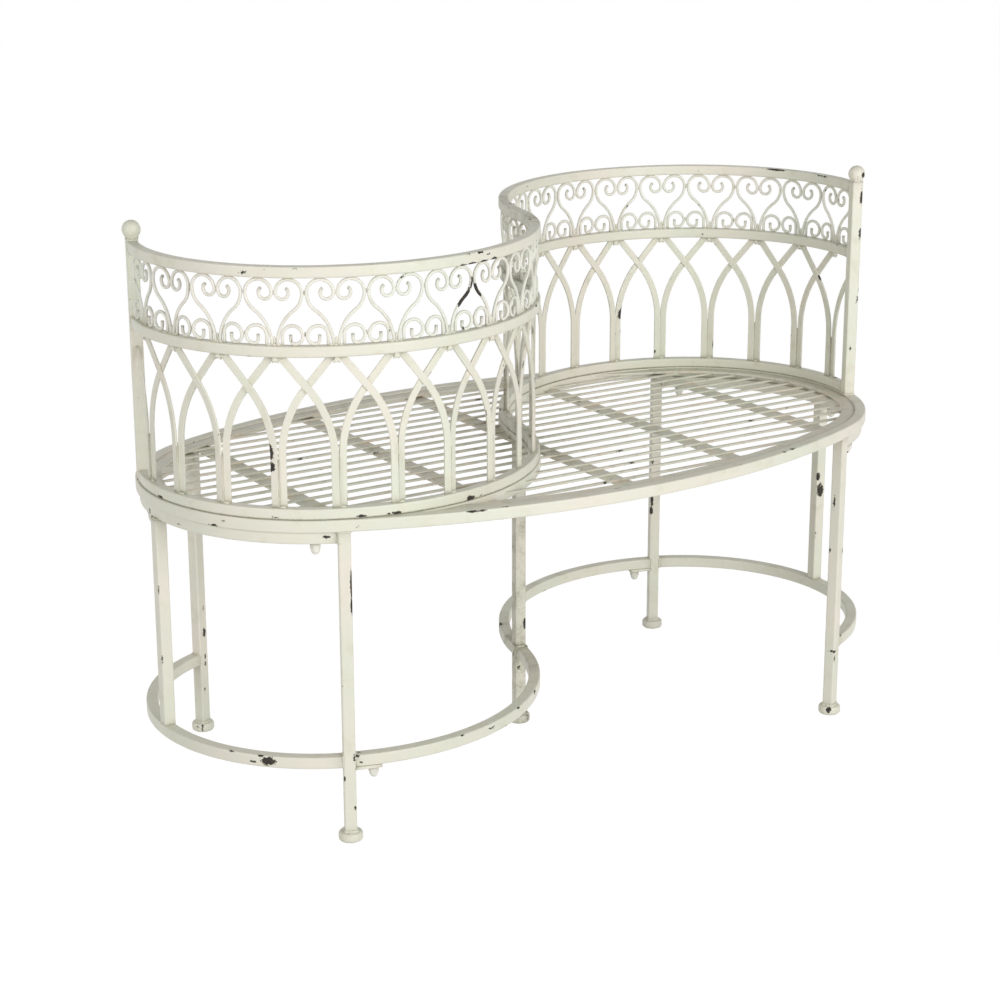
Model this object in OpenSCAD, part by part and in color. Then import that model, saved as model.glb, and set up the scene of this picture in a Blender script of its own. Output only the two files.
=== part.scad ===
// Kissing bench: two seats in one oval frame, facing opposite ways and parted
// by an S-shaped back of crossing gothic arches under a band of heart scrolls.
// X runs along the bench, Y from front to rear, Z up. The origin is on the
// ground under the middle. Half a turn about Z brings the bench onto itself.

/* [Seat] */
// Length of the seat rim, end to end
seat_l = 1200; // [1160:10:1240]
// Depth of the seat rim, front to rear
seat_d = 668; // [656:2:680]
// Outer radius of the seat's round ends
end_r = 262; // [256:1:268]
// Height of the rim's top above the ground
seat_h = 465; // [430:1:490]
// Side of the square tube of rim, legs, posts and stretchers
tube = 17; // [15:0.5:19]
// Wall of every square tube
wall = 1.5; // [1:0.1:2]
// Width of the flat ring inside the rim
ring_w = 20; // [16:1:26]
// Thickness of the flat ring
ring_t = 4; // [3:0.5:5]
// Depth of the ring's top below the rim's top
ring_drop = 2; // [1:0.5:3]
// Width of a slat
slat_w = 6; // [5:0.5:9]
// Thickness of a slat
slat_t = 3; // [2:0.5:4]
// Distance from slat to slat
slat_pitch = 31.25; // [28:0.25:36]
// Width of a cross strap
strap_w = 25; // [20:1:28]
// Thickness of a cross strap
strap_t = 4; // [3:0.5:5]
// Distance of the outermost cross straps from the legs, along the bench
strap_in = 10; // [8:1:30]

/* [Back] */
// Distance of the back's centre line from the rim's outer edge
back_in = 10.5; // [9:0.5:12]
// Angle round the seat's end from its tip to the end post
post_angle = 19; // [14:1:26]
// Angle by which the back leaves the rim before the rim's round end is over
leave_angle = 0.45; // [0.45:0.05:4]
// Side of the square tube of the back's three rails
rail = 15; // [13:0.5:17]
// Height of the arches, between bottom and middle rail
arch_h = 205; // [180:1:230]
// Height of the heart band, between middle and top rail
heart_h = 89.5; // [80:0.5:100]
// Height of the end posts above the top rail
post_over = 3; // [1:0.5:12]
// Diameter of the ball on an end post
ball_d = 26; // [22:1:32]

/* [Arches] */
// Bays on each side of the middle
bays = 11; // [10:1:12]
// Distance from an end post's centre to the nearest heart's middle
end_bay = 60; // [54:1:70]
// Width of an arch bar
arch_w = 10; // [8:0.5:12]
// Thickness of an arch bar
arch_t = 3; // [2:0.25:4]
// Height of an arch bar's upright foot
arch_foot_h = 70; // [50:1:80]
// How far an arch bar's head leans past the straight line from bend to head
arch_lean_share = 0.43; // [0.25:0.01:0.6]

/* [Scrolls] */
// Thickness of the scroll wire
wire = 4.6; // [4:0.1:5]
// Distance of a heart rod's foot from the heart's middle line
heart_foot = 3.5; // [2.8:0.1:4]
// Share of a heart rod's sweep that is bent the tighter, upper way
sweep_share = 0.33; // [0.25:0.01:0.5]
// Radius of the curl inside a heart's lobe
curl_r = 8.6; // [7:0.1:10]
// Radius of the curl's tip
tip_r = 7; // [5:0.5:9]
// Turn of the curl's tip
tip_turn = 60; // [30:5:90]
// Height of a small scroll
scroll_h = 28.8; // [26:0.2:31]
// Distance of a small scroll's foot from the heart's middle line
scroll_foot = 10.4; // [10.2:0.2:12]
// Radius of the hook at a small scroll's end
hook_r = 5.5; // [4.5:0.1:6.5]
// Length of the hook's straight end
hook_l = 6.5; // [3:0.5:8]

/* [Underframe] */
// Distance of the corner legs beyond the centres of the seat's round ends
leg_out = 92; // [84:1:96]
// Height of the stretchers' underside
stretcher_h = 110; // [90:1:140]
// How far the support rails stand in from the rim's outer edge
support_in = 5; // [3:0.5:7]
// Diameter of a foot
foot_d = 34; // [30:1:40]
// Height of a foot
foot_h = 14; // [11:0.5:18]
// Rounding of a foot's edges
foot_edge = 4.5; // [3:0.25:5]

/* [Fasteners] */
// Diameter of the welded studs
stud_d = 8; // [6:0.5:9]
// Clearance all round a stud in a hole or nut
stud_gap = 0.2; // [0.1:0.05:0.4]
// Width of a cap nut across its flats
nut_w = 13; // [11.5:0.5:15]
// Height of a cap nut's six-sided part
nut_hex_h = 6.5; // [5:0.5:8]
// Height of a cap nut's dome
nut_dome_h = 8.5; // [7:0.5:10]
// Depth of a cap nut's blind bore
nut_bore = 11; // [9:0.5:11.5]
// Diameter of a washer
washer_d = 16; // [14:0.5:18]
// Thickness of a washer
washer_t = 1.6; // [1:0.1:2]
// Angle from the seat end's tip to the studs beside the legs
stud_leg_a = 60; // [54:1:61]
// Angle from the seat end's tip to the stud beside the end upright
stud_tip_a = 8; // [5:1:20]
// Distance of a stretcher stud from its leg
tab_stud = 35; // [28:1:45]
// Length of a stretcher tab beyond its stud
tab_end = 10; // [8.5:0.5:15]
// Width of a stretcher tab
tab_w = 20; // [17:0.5:24]
// Thickness of a stretcher tab
tab_t = 4; // [3:0.5:5]

/* [Hidden] */
$fn = 144;

// Paint on the frame, and the slightly darker paint of the seat's flat bars
cream = [0.92, 0.91, 0.84];
shade = [0.80, 0.79, 0.72];
// Gap left at a welded seat that isn't flat against flat
weld_gap = 0.2;
// Gap on each side where neighbouring bars or scrolls meet
side_gap = 0.35;
// Gap where two bent lengths of tube are butt-welded
butt_gap = 0.05;
// Gap at the cut ends of an arch bar, and beside the bar that it crosses
end_gap = 0.02;
// How much an arch bar's foot is smaller than its bend, on every side, and how much
// a heart's curls are narrower than its stem
foot_in = 0.02;
curl_in = 0.02;
// Overrun of the cutting shapes, and of arcs that are cut off, in degrees
over = 1;
over_a = 1;
// Degrees of turn for a length of arc equal to its radius
radian = 180/PI;

// Worked-out radii are kept to the hundredth, so that arcs meet face to face
function short(v) = round(v*100)/100;

// The rim is an oval of four arcs: two round ends and two long sides
end_x = seat_l/2 - end_r;
side_r = short((pow(end_x, 2) + pow(seat_d/2, 2) - pow(end_r, 2))/(seat_d - 2*end_r));
side_y = side_r - seat_d/2;
join_a = atan2(side_y, end_x);
rim_r = end_r - tube/2;

// The back's line runs round the left end, leaves the rim on a bend that ends
// in the middle of the bench, and comes back by half a turn
back_r = end_r - back_in;
leave_a = short(join_a - leave_angle);
bend_r = short(back_r + (pow(end_x, 2) - pow(back_r, 2))/(2*(end_x*cos(leave_a) + back_r)));
bend_x = -end_x - (back_r - bend_r)*cos(leave_a);
bend_y = -(back_r - bend_r)*sin(leave_a);
bend_end_a = 360 + atan2(-bend_y, -bend_x);
middle_a = bend_end_a - 270;
bend_turn = bend_end_a - 180 - leave_a;
bend_l = bend_r*bend_turn/radian;
round_l = back_r*(post_angle + leave_a)/radian;
back_l = bend_l + round_l;
bay = short((back_l - end_bay)/bays);
butt_a = butt_gap/2/bend_r*radian;

// Heights of the seat and the back
rim_z = seat_h - tube;
ring_z = seat_h - ring_drop - ring_t;
slat_z = ring_z - slat_t;
strap_z = slat_z - strap_t;
arch_z = seat_h + rail;
middle_z = arch_z + arch_h;
heart_z = middle_z + rail;
top_z = heart_z + heart_h;
post_z = top_z + rail + post_over;

// Legs stand under the middle of the rim, on its long side or its round end,
// and are turned along it
leg_x = end_x + leg_out;
leg_on_end = leg_out > rim_r*cos(join_a);
leg_y = leg_on_end
    ? sqrt(pow(rim_r, 2) - pow(leg_out, 2))
    : sqrt(pow(side_r - tube/2, 2) - pow(leg_x, 2)) - side_y;
leg_turn = leg_on_end ? atan(leg_out/leg_y) : atan(leg_x/(side_y + leg_y));
leg_a = atan2(leg_y, -leg_out);
leg_bend_a = 360 - acos((-leg_x - bend_x)/bend_r);
upright_x = seat_l/2 - tube/2;
strap_pitch = (leg_x - strap_in)/2;

// Support rails lie under the rim, and the stretchers lower down
support_r = end_r - support_in - tube/2;
support_z = rim_z - tube;
stretcher_top = stretcher_h + tube;

// Studs, and the stud through each stretcher tab
seat_studs_a = [180 - stud_leg_a, 180 - stud_tip_a, 180 + stud_leg_a];
tab_a = leg_bend_a + tab_stud/bend_r*radian;
tab_p = [bend_x + bend_r*cos(tab_a), bend_y + bend_r*sin(tab_a)];
hole_r = stud_d/2 + stud_gap;

// Point and heading on the back's line at a distance from the middle
function back_at(s) =
    s > 0 ? let (p = back_at(-s)) [-p[0], -p[1], p[2]]
    : -s <= bend_l
        ? let (a = bend_end_a + s/bend_r*radian)
            [bend_x + bend_r*cos(a), bend_y + bend_r*sin(a), a + 90]
        : let (a = 180 + leave_a + (s + bend_l)/back_r*radian)
            [-end_x + back_r*cos(a), back_r*sin(a), a + 90];

// Half length of the seat at y, measured to a line inside the rim's outer edge
function oval_x(y, in) =
    abs(y) <= (end_r - in)*sin(join_a)
        ? end_x + sqrt(pow(end_r - in, 2) - pow(y, 2))
        : sqrt(pow(side_r - in, 2) - pow(abs(y) + side_y, 2));

// A wire is a list of [radius, turn, length]: an arc, or a straight with no turn
function wire_step(p, seg) =
    seg[1] == 0 ? [p[0] + seg[2]*cos(p[2]), p[1] + seg[2]*sin(p[2]), p[2]]
    : let (r = seg[0]*sign(seg[1]), a = p[2] + seg[1])
        [p[0] - r*sin(p[2]) + r*sin(a), p[1] + r*cos(p[2]) - r*cos(a), a];
function wire_at(p, segs, i) =
    i == 0 ? p : wire_step(wire_at(p, segs, i - 1), segs[i - 1]);

// Shapes used by several parts
module turned()
    rotate([0, 0, 180])
        children();

module both() {
    children();
    turned()
        children();
}

// Section of a square tube, and of a solid bar, about the line that it follows
module tube_section(side)
    translate([-side/2, 0])
        difference() {
            square(side);
            translate([wall, wall])
                square(side - 2*wall);
        }

module bar_section(w, h)
    translate([-w/2, 0])
        square([w, h]);

// A section swept round an arc from the X axis
module arc(r, turn)
    rotate_extrude(angle = turn)
        translate([r, 0])
            children();

// Two arcs that curve the same way and meet on the X axis: one goes back from
// it and the other goes on
module joined_arcs(r0, turn0, r1, turn1) {
    mirror([0, 1, 0])
        arc(r0, turn0)
            children();
    translate([r0 - r1, 0, 0])
        arc(r1, turn1)
            children();
}

// The left bend of the back's line, from an angle on it to just short of the middle
module left_bend(a0)
    translate([bend_x, bend_y, 0])
        rotate([0, 0, a0])
            arc(bend_r, bend_end_a - butt_a - a0)
                children();

// A rail of the back: two bent tubes that meet in the middle and end at the posts
module back_rail(z)
    both()
        difference() {
            translate([-end_x, 0, z])
                rotate([0, 0, 180 + leave_a])
                    joined_arcs(back_r, leave_a + post_angle + over_a, bend_r, bend_turn - butt_a)
                        tube_section(rail);
            behind_post(rail, z);
        }

// Space of the end post and of all that lies beyond it
module behind_post(h, z)
    at_post()
        translate([tube/2 - bay, -bay/2, z - over])
            cube([bay, bay, h + 2*over]);

module at_post() {
    p = back_at(-back_l);
    translate([p[0], p[1], 0])
        rotate([0, 0, p[2]])
            children();
}

module at_leg(sx, sy)
    translate([sx*leg_x, sy*leg_y, 0])
        rotate([0, 0, -sx*sy*leg_turn])
            children();

module upright_tube(z0, z1)
    translate([0, -tube/2, z0])
        linear_extrude(z1 - z0)
            tube_section(tube);

module leg_cut(sx, sy)
    at_leg(sx, sy)
        translate([-tube/2, -tube/2, 0])
            cube([tube, tube, seat_h]);

// A bar or tube round the whole oval, made by quarters, its middle line at a
// distance inside the rim's outer edge
module oval(in, h)
    both()
        for (m = [0, 1])
            mirror([0, m, 0])
                intersection() {
                    translate([-end_x, 0, 0])
                        rotate([0, 0, 180 + join_a])
                            joined_arcs(end_r - in, join_a + over_a, side_r - in, 90 - join_a + over_a)
                                children();
                    translate([-seat_l/2 - over, -seat_d/2 - over, -over])
                        cube([seat_l/2 + over, seat_d/2 + over, h + 2*over]);
                }

// Space of the seat's centre rail, which the seat's flat bars are cut to
module centre_rail_space()
    both()
        translate([bend_x, bend_y, strap_z - over])
            rotate([0, 0, 180 + leave_a])
                arc(bend_r, bend_turn + over_a)
                    bar_section(tube + 2*weld_gap, seat_h);

// Seat
module seat_rim()
    color(cream)
        translate([0, 0, rim_z])
            oval(tube/2, tube)
                tube_section(tube);

module seat_ring()
    color(shade)
        difference() {
            translate([0, 0, ring_z])
                oval(tube + weld_gap + ring_w/2, ring_t)
                    bar_section(ring_w, ring_t);
            centre_rail_space();
        }

module seat_slats() {
    ring_mid = tube + ring_w/2;
    rows = floor((seat_d/2 - tube - ring_w - slat_w/2)/slat_pitch + 1/2);
    color(shade)
        difference() {
            for (i = [-rows : rows - 1]) {
                y = (i + 1/2)*slat_pitch;
                x = oval_x(y, ring_mid);
                translate([-x, y - slat_w/2, slat_z])
                    cube([2*x, slat_w, slat_t]);
            }
            centre_rail_space();
        }
}

// All that lies inside the rim's front side, or its rear side
module seat_side(s)
    translate([0, s*side_y, strap_z - over])
        cylinder(r = side_r - tube - weld_gap, h = seat_h - strap_z + 2*over);

module seat_straps()
    color(shade)
        difference() {
            intersection() {
                for (i = [-2 : 2])
                    translate([i*strap_pitch - strap_w/2, -seat_d/2, strap_z])
                        cube([strap_w, seat_d, strap_t]);
                seat_side(1);
                seat_side(-1);
            }
            centre_rail_space();
        }

module seat_centre_rail()
    color(cream)
        both()
            intersection() {
                translate([0, 0, rim_z])
                    left_bend(180 + leave_a)
                        tube_section(tube);
                seat_side(1);
            }

// Back
module bottom_rail()
    color(cream)
        back_rail(seat_h);

module middle_rail()
    color(cream)
        back_rail(middle_z);

module top_rail()
    color(cream)
        back_rail(top_z);

module left_end_post()
    color(cream)
        at_post()
            upright_tube(seat_h, post_z);

module right_end_post()
    turned()
        left_end_post();

module left_ball_finial()
    color(cream)
        at_post()
            translate([0, 0, post_z + weld_gap + sqrt(pow(ball_d/2, 2) - pow(tube/2 - wall, 2))])
                sphere(d = ball_d);

module right_ball_finial()
    turned()
        left_ball_finial();

// Shapes drawn flat are stood up on the back's line, half or all of t to its left
module stood_up(z, left)
    translate([0, left, z])
        rotate([90, 0, 0])
            children();

// One arch bar: a straight foot, bent over, then straight to its head
module arch_bar(span) {
    foot = side_gap + arch_w/2;
    rise = arch_h - arch_foot_h;
    lean = atan((span - 2*foot)/rise)*(1 + arch_lean_share);
    head = span - side_gap - arch_w/2/cos(lean);
    r = short((rise*sin(lean) - (head - foot)*cos(lean))/(1 - cos(lean)));
    outer = r + arch_w/2;
    inner = r - arch_w/2;
    top = rise - 2*end_gap;
    stood_up(arch_z + end_gap, arch_t + end_gap) {
        translate([side_gap + foot_in, 0, foot_in])
            cube([arch_w - 2*foot_in, arch_foot_h + over, arch_t - 2*foot_in]);
        translate([foot + r, arch_foot_h, 0])
            rotate([0, 0, 180 - lean]) {
                arc(r, lean)
                    bar_section(arch_w, arch_t);
                mirror([0, 1, 0])
                    linear_extrude(arch_t)
                        polygon([
                            [inner, 0],
                            [outer, 0],
                            [outer, (top - outer*sin(lean))/cos(lean)],
                            [inner, (top - inner*sin(lean))/cos(lean)]
                        ]);
            }
    }
}

// The two bars of a bay lie back to back and cross
module arch_bay(i) {
    p = back_at(i*bay);
    q = back_at((i + 1)*bay);
    span = norm([q[0] - p[0], q[1] - p[1]]);
    heading = atan2(q[1] - p[1], q[0] - p[0]);
    translate([p[0], p[1], 0])
        rotate([0, 0, heading])
            arch_bar(span);
    translate([q[0], q[1], 0])
        rotate([0, 0, heading + 180])
            arch_bar(span);
}

// The last bar runs into the end post
module end_bar() {
    p = back_at(-bays*bay);
    q = back_at(-back_l);
    difference() {
        translate([p[0], p[1], 0])
            rotate([0, 0, atan2(q[1] - p[1], q[0] - p[0])])
                arch_bar(bay);
        behind_post(arch_h, arch_z);
    }
}

module left_arch_bars()
    color(cream) {
        for (i = [-bays : -1])
            arch_bay(i);
        end_bar();
    }

module right_arch_bars()
    turned()
        left_arch_bars();

// A bent wire of width w, drawn flat
module bent_wire(start, segs, w)
    for (i = [0 : len(segs) - 1]) {
        p = wire_at(start, segs, i);
        seg = segs[i];
        if (seg[1] == 0)
            translate([p[0], p[1], 0])
                rotate([0, 0, p[2]])
                    translate([0, -w/2, 0])
                        cube([seg[2], w, wire]);
        else {
            r = seg[0]*sign(seg[1]);
            translate([p[0] - r*sin(p[2]), p[1] + r*cos(p[2]), 0])
                rotate([0, 0, p[2] - 90*sign(seg[1]) + min(seg[1], 0)])
                    arc(seg[0], abs(seg[1]))
                        bar_section(w, wire);
        }
    }

// Outermost and innermost places of a wire's middle within a bay
wire_out = bay/2 - side_gap - wire/2;
wire_in = side_gap + wire/2;

// One rod of a heart: it sweeps up and out from the point to the lobe's side,
// then goes over the lobe and curls in
module heart_rod() {
    lobe_r = (wire_out - wire_in)/2;
    spread = wire_out - heart_foot;
    reach = heart_h - weld_gap - wire/2 - lobe_r;
    sweep_r = short((pow(spread, 2) + pow(reach, 2))/(2*spread));
    sweep = acos(1 - spread/sweep_r);
    rise = sweep_r*sin(sweep);
    high_r = short(sweep_r*sweep_share);
    low_r = sweep_r - high_r;
    stood_up(heart_z, wire/2) {
        intersection() {
            translate([heart_foot + low_r, 0, 0])
                rotate([0, 0, 180 - sweep]) {
                    arc(low_r, sweep + over_a)
                        bar_section(wire, wire);
                    translate([sweep_r, 0, 0])
                        rotate([0, 0, 180])
                            arc(high_r, sweep + over_a)
                                bar_section(wire, wire);
                }
            translate([0, 0, -over])
                cube([bay, rise, wire + 2*over]);
        }
        bent_wire([wire_out, rise, 90], [
            [lobe_r, 180, 0],
            [curl_r, 180, 0],
            [tip_r, tip_turn, 0]
        ], wire - 2*curl_in);
    }
}

// One small scroll: up beside the heart's point, over, down and hooked in
module small_scroll() {
    crown_r = (wire_out - scroll_foot)/2;
    rise = scroll_h - wire/2 - crown_r;
    stood_up(heart_z, wire/2)
        bent_wire([scroll_foot, 0, 90], [
            [0, 0, rise],
            [crown_r, -180, 0],
            [rise - weld_gap - wire/2, -90, 0],
            [hook_r, -90, 0],
            [0, 0, hook_l]
        ], wire);
}

module at_station(i) {
    p = back_at(i*bay);
    translate([p[0], p[1], 0])
        rotate([0, 0, p[2]])
            children();
}

module pair() {
    children();
    mirror([1, 0, 0])
        children();
}

module left_heart_scrolls()
    color(cream)
        for (i = [-bays : -1])
            at_station(i)
                pair()
                    heart_rod();

module middle_heart_scroll()
    color(cream)
        at_station(0)
            pair()
                heart_rod();

module right_heart_scrolls()
    turned()
        left_heart_scrolls();

module left_small_scrolls()
    color(cream)
        for (i = [-bays : -1])
            at_station(i)
                pair()
                    small_scroll();

module middle_small_scrolls()
    color(cream)
        at_station(0)
            pair()
                small_scroll();

module right_small_scrolls()
    turned()
        left_small_scrolls();

// Legs and feet
module corner_leg(sx, sy)
    color(cream)
        at_leg(sx, sy)
            upright_tube(foot_h, rim_z);

module front_left_leg()
    corner_leg(-1, -1);

module rear_left_leg()
    corner_leg(-1, 1);

module front_right_leg()
    corner_leg(1, -1);

module rear_right_leg()
    corner_leg(1, 1);

module centre_leg()
    color(cream)
        rotate([0, 0, middle_a])
            upright_tube(foot_h, stretcher_h);

module centre_upright()
    color(cream)
        rotate([0, 0, middle_a])
            upright_tube(stretcher_top, rim_z);

module foot()
    color(cream)
        rotate_extrude() {
            square([foot_d/2 - foot_edge, foot_h]);
            translate([0, foot_edge])
                square([foot_d/2, foot_h - 2*foot_edge]);
            for (z = [foot_edge, foot_h - foot_edge])
                translate([foot_d/2 - foot_edge, z])
                    circle(foot_edge);
        }

module front_left_foot()
    at_leg(-1, -1)
        foot();

module rear_left_foot()
    at_leg(-1, 1)
        foot();

module front_right_foot()
    at_leg(1, -1)
        foot();

module rear_right_foot()
    at_leg(1, 1)
        foot();

module centre_foot()
    foot();

// A tube round the left end, from leg to leg
module end_tube(r, z)
    translate([-end_x, 0, z])
        rotate([0, 0, leg_a])
            arc(r, 360 - 2*leg_a)
                tube_section(tube);

// Support rails under the rim, with a hole for each stud
module left_support_rail()
    color(cream)
        difference() {
            end_tube(support_r, support_z);
            leg_cut(-1, -1);
            leg_cut(-1, 1);
            at_seat_studs()
                translate([0, 0, support_z - over])
                    cylinder(r = hole_r, h = tube + 2*over);
        }

module right_support_rail()
    turned()
        left_support_rail();

module left_end_upright()
    color(cream)
        translate([-upright_x, 0, 0])
            upright_tube(stretcher_top, support_z);

module right_end_upright()
    turned()
        left_end_upright();

// Stretchers between the legs
module left_stretcher()
    color(cream)
        difference() {
            end_tube(rim_r, stretcher_h);
            leg_cut(-1, -1);
            leg_cut(-1, 1);
        }

module right_stretcher()
    turned()
        left_stretcher();

module centre_stretcher()
    color(cream)
        both()
            difference() {
                translate([0, 0, stretcher_h])
                    left_bend(leg_bend_a)
                        tube_section(tube);
                leg_cut(-1, -1);
            }

// Fasteners: welded studs with a washer and a cap nut below
module at_seat_studs()
    for (a = seat_studs_a)
        translate([-end_x + support_r*cos(a), support_r*sin(a), 0])
            children();

module at_tab()
    translate([tab_p[0], tab_p[1], 0])
        rotate([0, 0, tab_a + 90])
            children();

module stud(z0, z1)
    translate([0, 0, z0])
        cylinder(d = stud_d, h = z1 - z0);

module washer(z)
    translate([0, 0, z])
        difference() {
            cylinder(d = washer_d, h = washer_t);
            translate([0, 0, -over])
                cylinder(r = hole_r, h = washer_t + 2*over);
        }

// Cap nut hanging below z
module cap_nut(z) {
    dome_r = nut_w/2 - stud_gap;
    ball_r = dome_r + wall/4;
    translate([0, 0, z])
        mirror([0, 0, 1])
            difference() {
                union() {
                    cylinder(d = nut_w/cos(30), h = nut_hex_h, $fn = 6);
                    translate([0, 0, nut_hex_h])
                        intersection() {
                            cylinder(r = dome_r, h = nut_dome_h);
                            translate([0, 0, nut_dome_h - ball_r])
                                sphere(r = ball_r);
                        }
                }
                translate([0, 0, -over])
                    cylinder(r = hole_r, h = nut_bore + over);
            }
}

tab_z = stretcher_h - tab_t;

module stretcher_tabs()
    color(cream)
        both()
            difference() {
                at_tab()
                    translate([-tab_stud, -tab_w/2, tab_z])
                        cube([tab_stud + tab_end, tab_w, tab_t]);
                leg_cut(-1, -1);
                at_tab()
                    translate([0, 0, tab_z - over])
                        cylinder(r = hole_r, h = tab_t + 2*over);
            }

module stretcher_studs()
    color(shade)
        both()
            at_tab()
                stud(tab_z - washer_t - nut_bore + weld_gap, stretcher_h);

module stretcher_washers()
    color(shade)
        both()
            at_tab()
                washer(tab_z - washer_t);

module stretcher_nuts()
    color(shade)
        both()
            at_tab()
                cap_nut(tab_z - washer_t);

module seat_studs()
    color(shade)
        both()
            at_seat_studs()
                stud(support_z - washer_t - nut_bore + weld_gap, rim_z);

module seat_washers()
    color(shade)
        both()
            at_seat_studs()
                washer(support_z - washer_t);

module seat_nuts()
    color(shade)
        both()
            at_seat_studs()
                cap_nut(support_z - washer_t);

seat_rim();
seat_ring();
seat_slats();
seat_straps();
seat_centre_rail();
bottom_rail();
middle_rail();
top_rail();
left_end_post();
right_end_post();
left_ball_finial();
right_ball_finial();
left_arch_bars();
right_arch_bars();
left_heart_scrolls();
middle_heart_scroll();
right_heart_scrolls();
left_small_scrolls();
middle_small_scrolls();
right_small_scrolls();
front_left_leg();
rear_left_leg();
front_right_leg();
rear_right_leg();
centre_leg();
centre_upright();
front_left_foot();
rear_left_foot();
front_right_foot();
rear_right_foot();
centre_foot();
left_support_rail();
right_support_rail();
left_end_upright();
right_end_upright();
left_stretcher();
right_stretcher();
centre_stretcher();
stretcher_tabs();
stretcher_studs();
stretcher_washers();
stretcher_nuts();
seat_studs();
seat_washers();
seat_nuts();
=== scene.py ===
"""A painted metal kissing bench: two slatted seats in one oval rim, facing opposite ways,
parted by an S-shaped back of crossing gothic arches under a band of heart scrolls."""

import math
import random

import bpy
import numpy as np
from bpy.props import FloatProperty, FloatVectorProperty, IntProperty, PointerProperty
from bpy.types import Operator, Panel, PropertyGroup
from mathutils import Matrix, Vector


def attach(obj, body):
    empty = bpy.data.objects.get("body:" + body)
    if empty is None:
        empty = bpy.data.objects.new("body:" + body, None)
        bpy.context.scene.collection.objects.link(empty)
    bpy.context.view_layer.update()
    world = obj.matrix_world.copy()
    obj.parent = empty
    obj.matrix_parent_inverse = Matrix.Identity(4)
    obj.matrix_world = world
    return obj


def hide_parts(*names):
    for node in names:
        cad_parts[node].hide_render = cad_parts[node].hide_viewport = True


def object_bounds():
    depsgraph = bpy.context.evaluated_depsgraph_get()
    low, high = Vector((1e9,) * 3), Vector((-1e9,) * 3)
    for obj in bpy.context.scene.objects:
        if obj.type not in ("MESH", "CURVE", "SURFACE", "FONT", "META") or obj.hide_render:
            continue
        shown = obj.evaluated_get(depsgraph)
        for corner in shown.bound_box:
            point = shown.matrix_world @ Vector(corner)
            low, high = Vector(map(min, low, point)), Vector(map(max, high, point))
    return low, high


bl_info = {
    "name": "Kissing Bench",
    "version": (1, 0, 0),
    "blender": (4, 5, 0),
    "location": "View3D > Sidebar > Bench",
    "description": "Builds a painted metal kissing bench piece by piece",
    "category": "Add Mesh",
}

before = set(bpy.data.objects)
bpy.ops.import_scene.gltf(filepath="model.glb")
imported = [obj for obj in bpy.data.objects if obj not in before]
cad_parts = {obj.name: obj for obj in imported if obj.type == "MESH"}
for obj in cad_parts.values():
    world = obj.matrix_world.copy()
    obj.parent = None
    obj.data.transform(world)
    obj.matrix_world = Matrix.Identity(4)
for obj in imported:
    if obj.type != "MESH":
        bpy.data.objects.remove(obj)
cad_low, cad_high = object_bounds()

UP = (0.0, 0.0, 1.0)
WHITE = (1.0, 1.0, 1.0)
HALF_TURN = np.array((-1.0, -1.0, 1.0))
SIDES = (("left", -1), ("right", 1))
LEGS = (("front_left", -1, -1), ("rear_left", -1, 1), ("front_right", 1, -1),
        ("rear_right", 1, 1))
# Gap between bars or rods that touch each other, and between a rod and the rail above it
SNUG = 0.00035
ROD_GAP = 0.0002
# Rounding of the flat bars' edges
BAR_EDGE = 0.0007
STRAP_EDGE = 0.0008


# Sizes and colours that a user may change


def length(name, about, default, low, high):
    return FloatProperty(name=name, description=about, unit="LENGTH", default=default,
                         min=low, max=high)


def colour(name, about, default):
    return FloatVectorProperty(name=name, description=about, subtype="COLOR", size=3,
                               default=default, min=0, max=1)


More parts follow.
